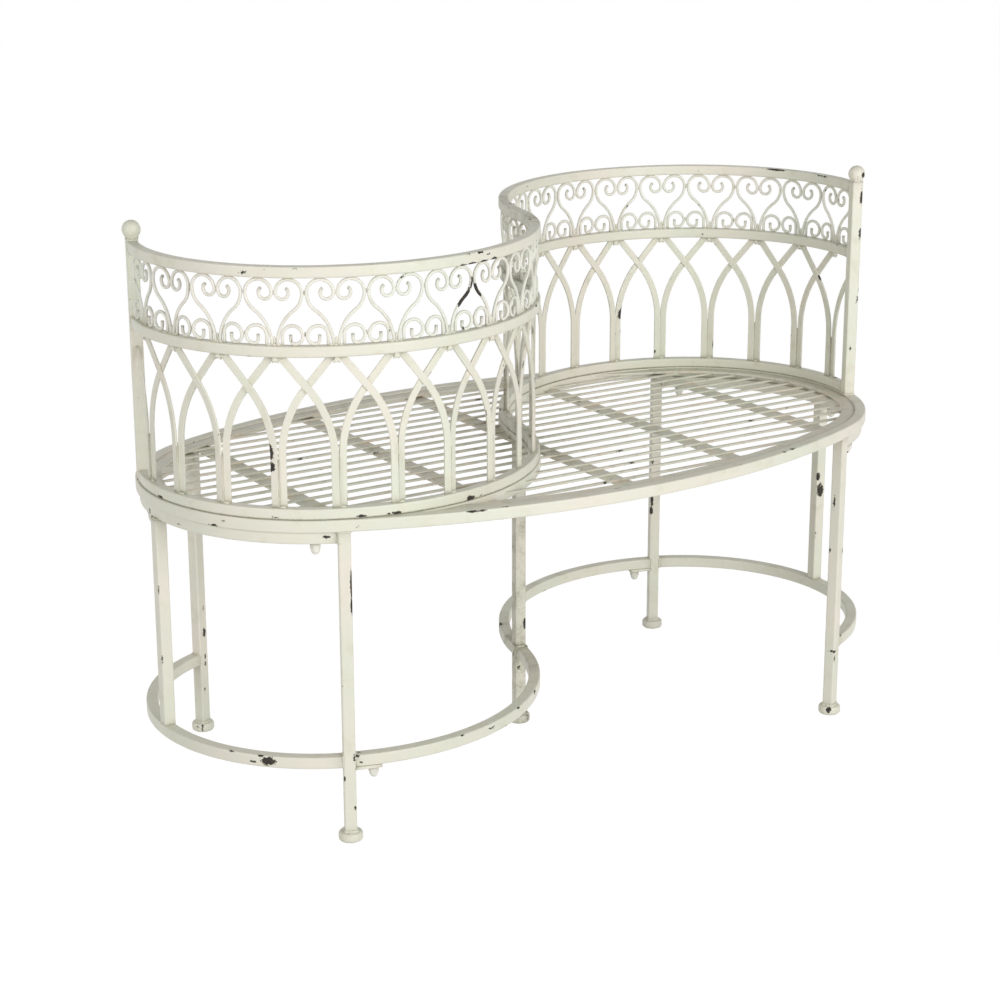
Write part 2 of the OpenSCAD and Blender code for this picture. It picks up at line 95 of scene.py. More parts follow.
class BenchSizes(PropertyGroup):
    """Sizes of the bench's bars and tubes"""

    seat_length: length("Seat length", "Length of the oval seat rim",
                        round(cad_high.x - cad_low.x, 4), 1.0, 1.4)
    seat_depth: length("Seat depth", "Depth of the oval seat rim",
                       round(cad_high.y - cad_low.y, 4), 0.6, 0.8)
    end_radius: length("End radius", "Outer radius of the seat's round ends", 0.262, 0.2, 0.3)
    seat_height: length("Seat height", "Height of the rim's top", 0.465, 0.4, 0.5)
    tube: length("Tube", "Side of the square tube of rim, legs and posts", 0.017, 0.01, 0.03)
    rail: length("Rail", "Side of the square tube of the back's rails", 0.015, 0.01, 0.03)
    tube_edge: length("Tube edge", "Rounding of the square tubes' edges", 0.0019, 0.0005, 0.004)
    ring_width: length("Ring width", "Width of the flat ring inside the rim", 0.020, 0.01, 0.03)
    ring_thickness: length("Ring thickness", "Thickness of the flat ring", 0.004, 0.002, 0.006)
    ring_drop: length("Ring drop", "Depth of the ring below the rim's top", 0.002, 0.0, 0.005)
    slat_width: length("Slat width", "Width of a seat slat", 0.006, 0.004, 0.01)
    slat_thickness: length("Slat thickness", "Thickness of a seat slat", 0.003, 0.002, 0.005)
    slat_pitch: length("Slat pitch", "Distance from slat to slat", 0.03125, 0.02, 0.05)
    strap_width: length("Strap width", "Width of a cross strap under the slats", 0.025, 0.015,
                        0.04)
    strap_thickness: length("Strap thickness", "Thickness of a cross strap", 0.004, 0.002, 0.006)
    back_inset: length("Back inset", "Distance of the back's line from the rim's outer edge",
                       0.0105, 0.005, 0.02)
    post_angle: FloatProperty(
        name="Post angle", description="Angle round the seat's end from its tip to the end post",
        subtype="ANGLE", default=math.radians(19), min=0.1, max=0.6)
    leave_angle: FloatProperty(
        name="Leave angle", description="Angle at which the back's line leaves the rim",
        subtype="ANGLE", default=math.radians(65.5), min=1.0, max=1.2)
    arch_height: length("Arch height", "Height between bottom and middle rail", 0.205, 0.15,
                        0.25)
    heart_height: length("Heart height", "Height between middle and top rail", 0.0895, 0.07,
                         0.11)
    arch_foot: length("Arch foot", "Height of an arch bar's upright foot", 0.070, 0.04, 0.09)
    arch_width: length("Arch bar width", "Width of an arch bar", 0.010, 0.006, 0.014)
    arch_thickness: length("Arch bar thickness", "Thickness of an arch bar", 0.003, 0.002, 0.005)
    wire: length("Scroll wire", "Thickness of the scroll wire", 0.0046, 0.003, 0.006)
    ball: length("Ball", "Diameter of the ball on an end post", 0.026, 0.02, 0.035)
    foot: length("Foot", "Diameter of a foot", 0.034, 0.025, 0.045)
    foot_height: length("Foot height", "Height of a foot", 0.014, 0.01, 0.02)
    stretcher_height: length("Stretcher height", "Height of the stretchers' underside", 0.110,
                             0.08, 0.15)
    bead: length("Weld bead", "Radius of a weld bead", 0.0013, 0.0005, 0.003)


class BenchPaint(PropertyGroup):
    """Colours and wear of the paint"""

    cream: colour("Cream", "Paint of the frame", (0.785, 0.78, 0.678))
    # A darker, greyer copy of the cream: partly painted shade on the thin seat bars, partly dirt
    seat: colour("Seat", "Duller paint of the seat's flat bars", (0.705, 0.70, 0.605))
    # Dark colour for real dirt, and for painted shade in seams, at bar ends and in the back's bend
    dirt_and_shade: colour("Dirt", "Old dirt in the paint's corners", (0.22, 0.20, 0.13))
    metal: colour("Metal", "Dark metal where the paint has chipped", (0.030, 0.028, 0.024))
    rust: colour("Rust", "Rust on the bare metal", (0.065, 0.045, 0.032))
    # Painted shade: the colour the upper faces are darkened towards, a dust-like grey
    top_shade: colour("Dust", "Grey dust on the upper faces", (0.42, 0.405, 0.30))
    chips: FloatProperty(
        name="Chips", description="How much of the edges has chipped", subtype="FACTOR",
        default=0.5, min=0, max=1)
    seed: IntProperty(
        name="Seed", description="Which way the chips are scattered", default=7, min=0)


class BenchStudio(PropertyGroup):
    """Light on the bench"""

    key: FloatProperty(
        name="Key", description="Power of the main lamp beside the camera", unit="POWER",
        default=120.0, min=0)
    fill: FloatProperty(
        name="Fill", description="Power of the soft lamp on the other side", unit="POWER",
        default=79.0, min=0)
    room: FloatProperty(
        name="Room", description="Strength of the room's light", subtype="FACTOR",
        default=0.34, min=0, max=2)


# The bench's lines, worked out from its sizes


class Lines:
    """Radii, centres and levels of the bench, in metres and radians."""

    def __init__(self, z):
        leg_reach, support_inset, strap_inset = 0.092, 0.005, 0.010
        post_bay, post_cap = 0.060, 0.003
        self.z = z
        self.half = z.seat_length / 2
        self.end_x = self.half - z.end_radius
        depth = z.seat_depth / 2
        self.side_r = (self.end_x ** 2 + depth ** 2 - z.end_radius ** 2) / (
            2 * (depth - z.end_radius))
        self.side_y = self.side_r - depth
        self.join_a = math.atan2(self.side_y, self.end_x)
        self.back_r = z.end_radius - z.back_inset
        cos_leave = math.cos(z.leave_angle)
        self.bend_r = self.back_r + (self.end_x ** 2 - self.back_r ** 2) / (
            2 * (self.end_x * cos_leave + self.back_r))
        self.bend_x = -self.end_x - (self.back_r - self.bend_r) * cos_leave
        self.bend_y = -(self.back_r - self.bend_r) * math.sin(z.leave_angle)
        self.bend_end = math.tau + math.atan2(-self.bend_y, -self.bend_x)
        self.middle_a = self.bend_end - 1.5 * math.pi
        self.bend_l = self.bend_r * (self.bend_end - math.pi - z.leave_angle)
        self.back_l = self.bend_l + self.back_r * (z.post_angle + z.leave_angle)
        self.bays = 11
        self.bay = (self.back_l - post_bay) / self.bays
        self.rim_z = z.seat_height - z.tube
        self.ring_z = z.seat_height - z.ring_drop - z.ring_thickness
        self.slat_z = self.ring_z - z.slat_thickness
        self.strap_z = self.slat_z - z.strap_thickness
        self.arch_z = z.seat_height + z.rail
        self.middle_z = self.arch_z + z.arch_height
        self.heart_z = self.middle_z + z.rail
        self.top_z = self.heart_z + z.heart_height
        self.post_z = self.top_z + z.rail + post_cap
        self.leg_x = self.end_x + leg_reach
        self.leg_y = math.sqrt((self.side_r - z.tube / 2) ** 2 - self.leg_x ** 2) - self.side_y
        self.leg_turn = math.atan(self.leg_x / (self.side_y + self.leg_y))
        self.leg_a = math.atan2(self.leg_y, -leg_reach)
        self.leg_bend_a = math.tau - math.acos((-self.leg_x - self.bend_x) / self.bend_r)
        self.strap_pitch = (self.leg_x - strap_inset) / 2
        self.support_r = z.end_radius - support_inset - z.tube / 2
        self.support_z = self.rim_z - z.tube
        self.rim_r = z.end_radius - z.tube / 2
        # A heart's half width at its lobes, its lobes' radius, and its rods' level at the top
        self.heart_out = self.bay / 2 - SNUG - z.wire / 2
        self.lobe = (self.heart_out - SNUG - z.wire / 2) / 2
        self.crown_z = self.heart_z + z.heart_height - ROD_GAP - z.wire / 2

    def back_at(self, s):
        """Point and heading on the back's line, at a distance from the middle."""
        if s > 0:
            x, y, a = self.back_at(-s)
            return -x, -y, a
        if -s <= self.bend_l:
            a = self.bend_end + s / self.bend_r
            return (self.bend_x + self.bend_r * math.cos(a),
                    self.bend_y + self.bend_r * math.sin(a), a + math.pi / 2)
        a = math.pi + self.z.leave_angle + (s + self.bend_l) / self.back_r
        return (-self.end_x + self.back_r * math.cos(a), self.back_r * math.sin(a),
                a + math.pi / 2)

    def oval_x(self, y, inset):
        """Half length of the seat at y, inside the rim's outer edge."""
        end, side = self.z.end_radius - inset, self.side_r - inset
        if abs(y) <= end * math.sin(self.join_a):
            return self.end_x + math.sqrt(end ** 2 - y ** 2)
        return math.sqrt(side ** 2 - (abs(y) + self.side_y) ** 2)

    def side_half(self, x, inset):
        """Half depth of the seat at x, inside the rim's outer edge."""
        return math.sqrt((self.side_r - inset) ** 2 - x ** 2) - self.side_y


# Paths: points with the side and up axes of the bar that follows them


def oval_path(lines, inset, height, step=0.005):
    """Once round the seat, inside the rim's outer edge."""
    path, side = [], []
    end, long_side = lines.z.end_radius - inset, lines.side_r - inset
    join = lines.join_a
    stretches = (
        (lines.end_x, 0, end, -join, join),
        (0, -lines.side_y, long_side, join, math.pi - join),
        (-lines.end_x, 0, end, math.pi - join, math.pi + join),
        (0, lines.side_y, long_side, math.pi + join, math.tau - join),
    )
    for x, y, r, a0, a1 in stretches:
        n = max(2, round(r * (a1 - a0) / step))
        for a in np.linspace(a0, a1, n, endpoint=False):
            path.append((x + r * math.cos(a), y + r * math.sin(a), height))
            side.append((math.cos(a), math.sin(a), 0.0))
    return path, side, [UP] * len(path)


def back_path(lines, height, reach, step=0.004):
    """Along the back's line, as far as reach on both sides of the middle."""
    n = max(2, round(2 * reach / step))
    marks = [lines.back_at(s) for s in np.linspace(-reach, reach, n + 1)]
    path = [(x, y, height) for x, y, _ in marks]
    side = [(math.sin(a), -math.cos(a), 0.0) for _, _, a in marks]
    return path, side, [UP] * len(path)


def arc_path(x, r, a0, a1, height, step=0.004):
    """Along a level arc about a centre on the bench's long axis."""
    n = max(2, round(abs(a1 - a0) * r / step))
    angles = np.linspace(a0, a1, n + 1)
    path = [(x + r * math.cos(a), r * math.sin(a), height) for a in angles]
    side = [(math.cos(a), math.sin(a), 0.0) for a in angles]
    return path, side, [UP] * len(path)


def post_path(x, y, turn, low, high, step=0.004):
    """Straight up."""
    n = max(2, round((high - low) / step))
    path = [(x, y, z) for z in np.linspace(low, high, n + 1)]
    side = (math.cos(turn), math.sin(turn), 0.0)
    up = (-math.sin(turn), math.cos(turn), 0.0)
    return path, [side] * len(path), [up] * len(path)


def tangents(path, closed=False):
    """The direction of a path at each of its points."""
    run = np.roll(path, -1, 0) - np.roll(path, 1, 0) if closed else np.gradient(path, axis=0)
    return run / np.linalg.norm(run, axis=1)[:, None]


def stand(points, origin, heading, off=0.0):
    """Points drawn flat as (along, up), stood on the back's line at a mark."""
    c, s = math.cos(heading), math.sin(heading)
    return np.array([(origin[0] + u * c - off * s, origin[1] + u * s + off * c, origin[2] + v)
                     for u, v in points])


def wire_axes(path, heading):
    """Section axes for a wire bent in an upright plane."""
    across = np.array((-math.sin(heading), math.cos(heading), 0.0))
    return np.cross(across, tangents(path)), np.tile(across, (len(path), 1))


def bend(start, segments, step=0.0016):
    """A flat line of straights and arcs. start is (x, y, heading in degrees); a segment is
    (radius, turn in degrees) or (0, length)."""
    x, y, a = start[0], start[1], math.radians(start[2])
    points = [(x, y)]
    for r, turn in segments:
        if r == 0:
            n = max(1, round(turn / (2 * step)))
            for i in range(1, n + 1):
                points.append((x + turn * i / n * math.cos(a), y + turn * i / n * math.sin(a)))
            x, y = points[-1]
            continue
        sign = math.copysign(1, turn)
        cx, cy = x - sign * r * math.sin(a), y + sign * r * math.cos(a)
        n = max(3, round(abs(math.radians(turn)) * r / step))
        for i in range(1, n + 1):
            b = a + math.radians(turn) * i / n
            points.append((cx + sign * r * math.sin(b), cy - sign * r * math.cos(b)))
        x, y = points[-1]
        a += math.radians(turn)
    return points


# Sections: points (across, up from the line) and how near an edge each is


def bar_section(width, height, edge):
    """A rectangle with rounded edges, close rows of points beside them and a few between."""
    beside, between = 0.0011, 0.0032
    on_edge, off_edge, on_face = 1.0, 0.75, 0.22
    corners = ((1, 1, 0), (-1, 1, 90), (-1, -1, 180), (1, -1, 270))
    ring = []
    for sx, sy, a0 in corners:
        for a in (0, 30, 60, 90):
            r = math.radians(a0 + a)
            ring.append((sx * (width / 2 - edge) + edge * math.cos(r),
                         sy * (height / 2 - edge) + edge * math.sin(r)))
    points, wear = [], []
    for k in range(0, 16, 4):
        points += ring[k:k + 4]
        wear += [off_edge, on_edge, on_edge, off_edge]
        a, b = ring[k + 3], ring[(k + 4) % 16]
        gap = math.dist(a, b)
        if gap < 0.0006:
            continue
        near = min(beside, gap / 3)
        inner = max(1, round((gap - 2 * near) / between))
        for i in range(inner + 1):
            t = near / gap + (1 - 2 * near / gap) * i / inner
            points.append((a[0] + (b[0] - a[0]) * t, a[1] + (b[1] - a[1]) * t))
            wear.append(on_face if i in (0, inner) else 0.0)
    return np.array(points), np.array(wear)


def round_section(diameter, count=12, wear=0.12):
    """A round wire, evenly worn."""
    a = np.arange(count) * math.tau / count
    return np.stack([np.cos(a), np.sin(a)], 1) * diameter / 2, np.full(count, wear)


def skin(n, m, closed=False, flip=False):
    """Faces over n rings of m points each, with a cap at each end unless closed."""
    faces = []
    for i in range(n if closed else n - 1):
        j = (i + 1) % n
        for k in range(m):
            k2 = (k + 1) % m
            faces.append((i * m + k, i * m + k2, j * m + k2, j * m + k))
    if not closed:
        faces += [tuple(range(m))[::-1], tuple(range((n - 1) * m, n * m))]
    return [f[::-1] for f in faces] if flip else faces


class Pile:
    """Gathers swept and turned shapes into one mesh, with wear stored on its points."""

    def __init__(self):
        self.verts, self.faces, self.flat = [], [], []
        self.edge, self.along, self.grime = [], [], []
        self.guides = []

    def add(self, verts, faces, edge, along, grime, flat_ends):
        count = sum(len(v) for v in self.verts)
        self.verts.append(verts)
        self.edge.append(edge)
        self.along.append(along)
        self.grime.append(grime)
        self.faces += [[v + count for v in f] for f in faces]
        self.flat += [False] * (len(faces) - flat_ends) + [True] * flat_ends

    def sweep(self, path, side, up, section, closed=False, grime=0.0, grime_ends=0.0,
              level_ends=False, flat_ends=True, seam=(0, -1, 0.0)):
        """A section carried along a path. side and up are the section's axes at each point. Dirt
        and painted shade darken the bar all over by the first amount, at the ends where it meets
        other parts as far as the second, and along one side of the section: seam is that side's
        direction and how much dirt and painted shade lie there."""
        shape, wear = section
        path, side, up = (np.asarray(v, float) for v in (path, side, up))
        n, m = len(path), len(shape)
        rings = path[:, None] + side[:, None] * shape[None, :, :1] + up[:, None] * shape[None, :, 1:]
        tangent = tangents(path, closed)
        if level_ends:
            for i in (0, n - 1):
                rise = (path[i][2] - rings[i][:, 2]) / tangent[i][2]
                rings[i] += rise[:, None] * tangent[i]
        run = np.concatenate([[0], np.cumsum(np.linalg.norm(np.diff(path, axis=0), axis=1))])
        dirt_and_shade = np.full(n, grime)
        if grime_ends:
            dirt_and_shade += np.exp(-np.minimum(run, run[-1] - run) / grime_ends)
        reach = shape @ np.array(seam[:2], float)
        under = seam[2] * np.clip(1 - (reach.max() - reach) / 0.003, 0, 1)
        flip = np.dot(np.cross(side[0], up[0]), tangent[0]) < 0
        self.add(rings.reshape(-1, 3), skin(n, m, closed, flip), np.tile(wear, n),
                 np.repeat(tangent, m, 0), np.repeat(dirt_and_shade, m) + np.tile(under, n),
                 2 if flat_ends and not closed else 0)
        self.guides.append((path, side, up, run, shape.max(0)))

    def turn(self, profile, place, steps=48, wear=0.15, grime=0.0, radius=None):
        """A profile of (radius, height) turned about the vertical through place. wear and the
        darkening by dirt and painted shade may change with the height, and radius may change each
        radius with the angle."""
        n = len(profile)
        verts = []
        for r, h in profile:
            for a in np.arange(steps) * math.tau / steps:
                rr = radius(r, h, a) if radius else r
                verts.append((place[0] + rr * math.cos(a), place[1] + rr * math.sin(a),
                              place[2] + h))
        self.add(np.array(verts), skin(n, steps), np.repeat(np.full(n, wear, float), steps),
                 np.tile(UP, (n * steps, 1)), np.repeat(np.full(n, grime, float), steps), 2)
        (_, low), (wide, high) = np.min(profile, 0), np.max(profile, 0)
        path = np.array(place) + np.outer((low, high), UP)
        side, up = np.tile((1.0, 0.0, 0.0), (2, 1)), np.tile((0.0, 1.0, 0.0), (2, 1))
        self.guides.append((path, side, up, (0.0, high - low), (wide, wide)))

    def half_turn(self, keep=True):
        """Turns everything half round the bench's middle, and keeps it as well or not."""
        if keep:
            count = sum(len(v) for v in self.verts)
            self.faces += [[v + count for v in f] for f in self.faces]
            self.flat *= 2
            self.edge *= 2
            self.grime *= 2
        verts, along = ([v * HALF_TURN for v in part] for part in (self.verts, self.along))
        guides = [(*(v * HALF_TURN for v in g[:3]), *g[3:]) for g in self.guides]
        self.verts = self.verts + verts if keep else verts
        self.along = self.along + along if keep else along
        self.guides = self.guides + guides if keep else guides

    def spot(self, bar, along, across, high):
        """A point on a bar: a distance along it, and across and up in half sizes of it."""
        path, side, up, run, half = self.guides[bar]
        line = path + side * across * half[0] + up * high * half[1]
        return np.array([np.interp(along, run, line[:, k]) for k in range(3)])

    def make(self, name, slot, *nodes):
        """The finished piece, painted, riding on the bench and standing for its CAD nodes."""
        mesh = bpy.data.meshes.new(name)
        mesh.from_pydata(np.concatenate(self.verts), [], self.faces)
        mesh.polygons.foreach_set("use_smooth", [not f for f in self.flat])
        # The second layer darkens the paint with dirt and painted shade together
        stored = (("edge", np.concatenate(self.edge)), ("grime", np.concatenate(self.grime)),
                  ("worn", wear_at(self, name)))
        for label, values in stored:
            layer = mesh.attributes.new(label, "FLOAT", "POINT")
            layer.data.foreach_set("value", values.astype(np.float32))
        mesh.materials.append(PAINTS[slot]())
        mesh.update()
        piece = bpy.data.objects.new(name, mesh)
        bpy.context.scene.collection.objects.link(piece)
        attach(piece, "root")
        if nodes:
            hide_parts(*nodes)
        return piece


def single(name, slot, node, axes, section, **grime):
    """A piece of one swept bar."""
    pile = Pile()
    pile.sweep(*axes, section, **grime)
    return pile.make(name, slot, node)


# Where the paint has chipped on each piece: the bar's number in the piece, how far along it in
# millimetres, where across and up it in half sizes, the chip's half length and half width in
# millimetres, and how bare it is (1 is bare metal). Programs worked these places out from the
# photograph's dark spots, so the table is measured data and follows from no rule of the design

CHIPS = {
    "top_rail_tube": (
        (0, 1824, -0.3, 0.9, 5, 2, 0.8), (0, 1692, 0.9, 0.9, 16, 2, 1),
        (0, 1788, 1, 0.8, 16, 2, 0.45), (0, 1560, 1, -0.3, 4, 2, 0.5),
        (0, 256, 1, -0.1, 8, 3, 0.62), (0, 284, 1, 0.4, 6, 2, 0.45),
        (0, 324, 0.9, 0.7, 6, 2, 0.4), (0, 280, -0.1, 0.9, 20, 2, 0.5),
        (0, 552, 1, -0.9, 6, 2, 0.8), (0, 568, 1, -0.9, 7, 2, 1), (0, 591, 1, -0.9, 7, 2, 0.9),
        (0, 612, 1, -0.8, 6, 2, 0.9), (0, 584, 1, 0.8, 6, 2, 0.7), (0, 564, 1, 0.9, 4, 2, 0.6),
        (0, 599, 1, 0.3, 6, 2, 0.7), (0, 704, 1, -0.5, 3, 2, 0.5)),
    "middle_rail_tube": (
        (0, 452, -0.3, 1, 5, 2, 0.6), (0, 1568, 1, -0.2, 3, 2, 0.5),
        (0, 259, 0.8, -0.9, 6, 2, 0.6), (0, 620, 0.8, -0.3, 5, 2, 0.6)),
    "bottom_rail_tube": (
        (0, 1832, -0.5, 1, 4, 4, 1), (0, 564, 1, -0.6, 8, 3, 1), (0, 584, 0.8, -0.6, 6, 2, 0.8),
        (0, 400, 1, -0.5, 8, 2, 0.9), (0, 448, 1, -0.6, 7, 2, 0.9), (0, 288, 1, -0.5, 6, 2, 0.7),
        (0, 96, 1, -0.6, 7, 2, 0.9)),
    "right_ball": ((0, 12, 0.2, -1, 4, 4, 1),),
    "right_post_tube": (
        (0, 317, 1, 0.7, 12, 2, 0.8), (0, 261, 1, 0.7, 9, 2, 0.8), (0, 155, 1, 0.7, 6, 2, 0.7),
        (0, 76, 1, -0.3, 4, 2, 0.9)),
    "left_post_tube": ((0, 259, 1, -0.8, 3, 2, 0.5), (0, 116, 1, -0.2, 4, 2, 0.5)),
    "left_arch_flat_bars": ((16, 76, 0.6, 1.1, 12, 3, 1), (16, 56, 0.7, 1.1, 7, 5, 1)),
    "right_arch_flat_bars": (
        (12, 81, 0.8, -0.8, 9, 5, 1), (21, 162, -1, 0.6, 5, 3, 0.9),
        (12, 50, 1.1, -0.6, 5, 2, 0.7)),
    "left_heart_rods": (
        (12, 74, 0.6, -0.9, 9, 3, 1), (15, 66, -0.8, -0.9, 9, 3, 1), (15, 55, -1, -0.6, 6, 3, 1),
        (12, 57, -0.3, -0.8, 10, 3, 1), (12, 44, -0.6, -0.8, 8, 3, 1)),
    "seat_rim_tube": (
        (0, 2821, 0.6, 1, 5, 3, 1), (0, 2801, 0.7, 1, 4, 2, 0.9), (0, 2261, 1, 0.9, 7, 2, 1),
        (0, 2276, 1, 0.9, 5, 2, 0.8), (0, 2310, 0.6, 1, 6, 2, 0.9),
        (0, 2131, -0.2, 1, 8, 2, 0.9), (0, 1926, 1, 0.2, 5, 3, 0.6),
        (0, 1911, 1, -0.8, 9, 2, 0.6)),
    "seat_slat_bars": (
        (2, 516, 1, 1, 8, 2, 0.8), (4, 610, 1.1, 1, 3, 2, 0.8), (5, 900, 0.9, 1, 4, 2, 0.8)),
    "seat_centre_tube": ((0, 634, -1, -0.2, 5, 2, 0.8), (0, 585, 0.2, 0.9, 4, 2, 0.6)),
    "front_left_leg_tube": (
        (0, 362, 0.9, -1, 20, 2, 0.9), (0, 331, 0.9, -1, 12, 2, 0.9),
        (0, 80, -0.9, -1, 5, 2, 0.6), (0, 36, 0.7, -0.9, 4, 2, 0.7),
        (0, 111, 0.7, -0.9, 8, 2, 0.65)),
    "rear_left_leg_tube": (
        (0, 146, 0.2, -1, 8, 4, 0.9), (0, 108, 0.2, -1, 5, 2, 0.9), (0, 96, 0.2, -1, 4, 2, 0.9),
        (0, 186, 0.2, -1, 5, 2, 0.6)),
    "front_right_leg_tube": (
        (0, 334, -1, 0.3, 14, 2, 0.8), (0, 255, -1, 0.7, 4, 2, 0.8),
        (0, 92, -0.9, -1, 2, 6, 0.8), (0, 92, -1.2, -0.2, 2, 4, 0.8)),
    "rear_right_leg_tube": (
        (0, 219, -0.7, -1, 11, 2, 1), (0, 199, -0.8, -0.9, 6, 4, 1),
        (0, 286, -0.7, -1, 5, 2, 0.6)),
    "centre_leg_tube": ((0, 20, -1.2, 0.5, 4, 3, 0.9), (0, 78, -1.2, 0.4, 4, 3, 1)),
    "centre_upright_tube": ((0, 36, -1, -0.7, 8, 3, 0.9),),
    "left_end_upright_tube": ((0, 203, -1, -0.9, 8, 2, 0.5), (0, 101, -1, -0.9, 5, 2, 0.6)),
    "right_end_upright_tube": ((0, 156, -0.2, -1.1, 12, 6, 1), (0, 180, -0.8, -1.1, 7, 4, 1)),
    "rear_left_foot_disc": ((0, 9, -0.8, -0.6, 4, 3, 0.6),),
    "front_right_foot_disc": ((0, 10, -0.7, -0.7, 5, 4, 1),),
    "left_support_rail_tube": ((0, 566, 1, 0.2, 5, 3, 0.9), (0, 269, 1, -0.4, 4, 4, 0.8)),
    "left_stretcher_tube": (
        (0, 492, 1, 0.1, 11, 6, 1), (0, 481, 0.9, 0.9, 4, 2, 0.9), (0, 470, 1, -0.3, 5, 2, 0.9),
        (0, 438, 1, 1, 5, 2, 0.7)),
    "centre_stretcher_tube": (
        (0, 217, 1, 0.2, 7, 2, 0.8), (0, 357, 1, 0.6, 6, 3, 0.9), (0, 648, -0.8, 0.8, 6, 4, 1),
        (0, 161, 0.9, 0.9, 5, 2, 0.5), (0, 8, -0.2, 1, 3, 2, 0.9), (0, 4, 1, 0.9, 3, 2, 0.9),
        (0, 8, 1, -0.2, 3, 2, 0.9), (0, 288, 1, 0.9, 4, 2, 0.9), (0, 552, -0.9, -0.5, 4, 3, 0.9)),
}


def wear_at(pile, name):
    """How worn each point of a piece is: the known chips, and a scatter of small ones."""
    verts, along = np.concatenate(pile.verts), np.concatenate(pile.along)
    worn = np.zeros(len(verts))
    scatter = random.Random(f"{name}{bpy.context.scene.bench_paint.seed}")
    chips = [(pile.spot(bar, run / 1000, across, high), reach / 1000, width / 1000, bare)
             for bar, run, across, high, reach, width, bare in CHIPS.get(name, ())]
    for _ in range(max(2, len(verts) // 1100)):
        place = verts[scatter.randrange(len(verts))]
        reach = scatter.uniform(0.002, 0.008)
        chips.append((place, reach, scatter.uniform(0.001, 0.0022), scatter.uniform(0.25, 0.75)))
    for centre, reach, width, bare in chips:
        near = np.nonzero(np.abs(verts - centre).max(1) < max(reach, width) * 1.5)[0]
        d = verts[near] - centre
        run = np.einsum("ij,ij->i", d, along[near])
        off = np.linalg.norm(d - run[:, None] * along[near], axis=1)
        far = np.sqrt((run / reach) ** 2 + (off / width) ** 2)
        worn[near] = np.maximum(worn[near], bare * np.clip(1.5 - far, 0, 1))
    return worn


# Finishes


class Nodes:
    """The nodes of a material or a world, with short ways to add to them."""

    def __init__(self, tree):
        self.tree = tree

    def give(self, socket, value):
        """Puts a number or colour in a socket, or joins another node's output to it."""
        if isinstance(value, bpy.types.NodeSocket):
            self.tree.links.new(value, socket)
        else:
            socket.default_value = (*value, 1.0) if socket.type == "RGBA" else value

    def add(self, kind, output, inputs=(), **settings):
        """An output of a new node. inputs pairs the node's sockets with what they are given."""
        node = self.tree.nodes.new("ShaderNode" + kind)
        for name, value in settings.items():
            setattr(node, name, value)
        for socket, value in dict(inputs).items():
            self.give(node.inputs[socket], value)
        return node.outputs[output]

    def span(self, value, low, high, to_low=0.0, to_high=1.0):
        """Goes smoothly from to_low to to_high while value goes from low to high."""
        ends = {"Value": value, "From Min": low, "From Max": high, "To Min": to_low,
                "To Max": to_high}
        return self.add("MapRange", "Result", ends, interpolation_type="SMOOTHSTEP")

    def maths(self, kind, *values):
        return self.add("Math", "Value", enumerate(values), operation=kind)

    def mix(self, share, a, b):
        return self.add("Mix", "Result", {"Factor": share, "A": a, "B": b}, data_type="RGBA")

    def seen(self):
        """1 for what the camera or a reflection sees, 0 for what lights the bench."""
        rays = self.tree.nodes.new("ShaderNodeLightPath").outputs
        return self.maths("MAXIMUM", rays["Is Camera Ray"], rays["Is Glossy Ray"])


def shader(name):
    """A new material: its nodes and its main shader."""
    material = bpy.data.materials.new(name)
    material.use_nodes = True
    return material, Nodes(material.node_tree), material.node_tree.nodes["Principled BSDF"]


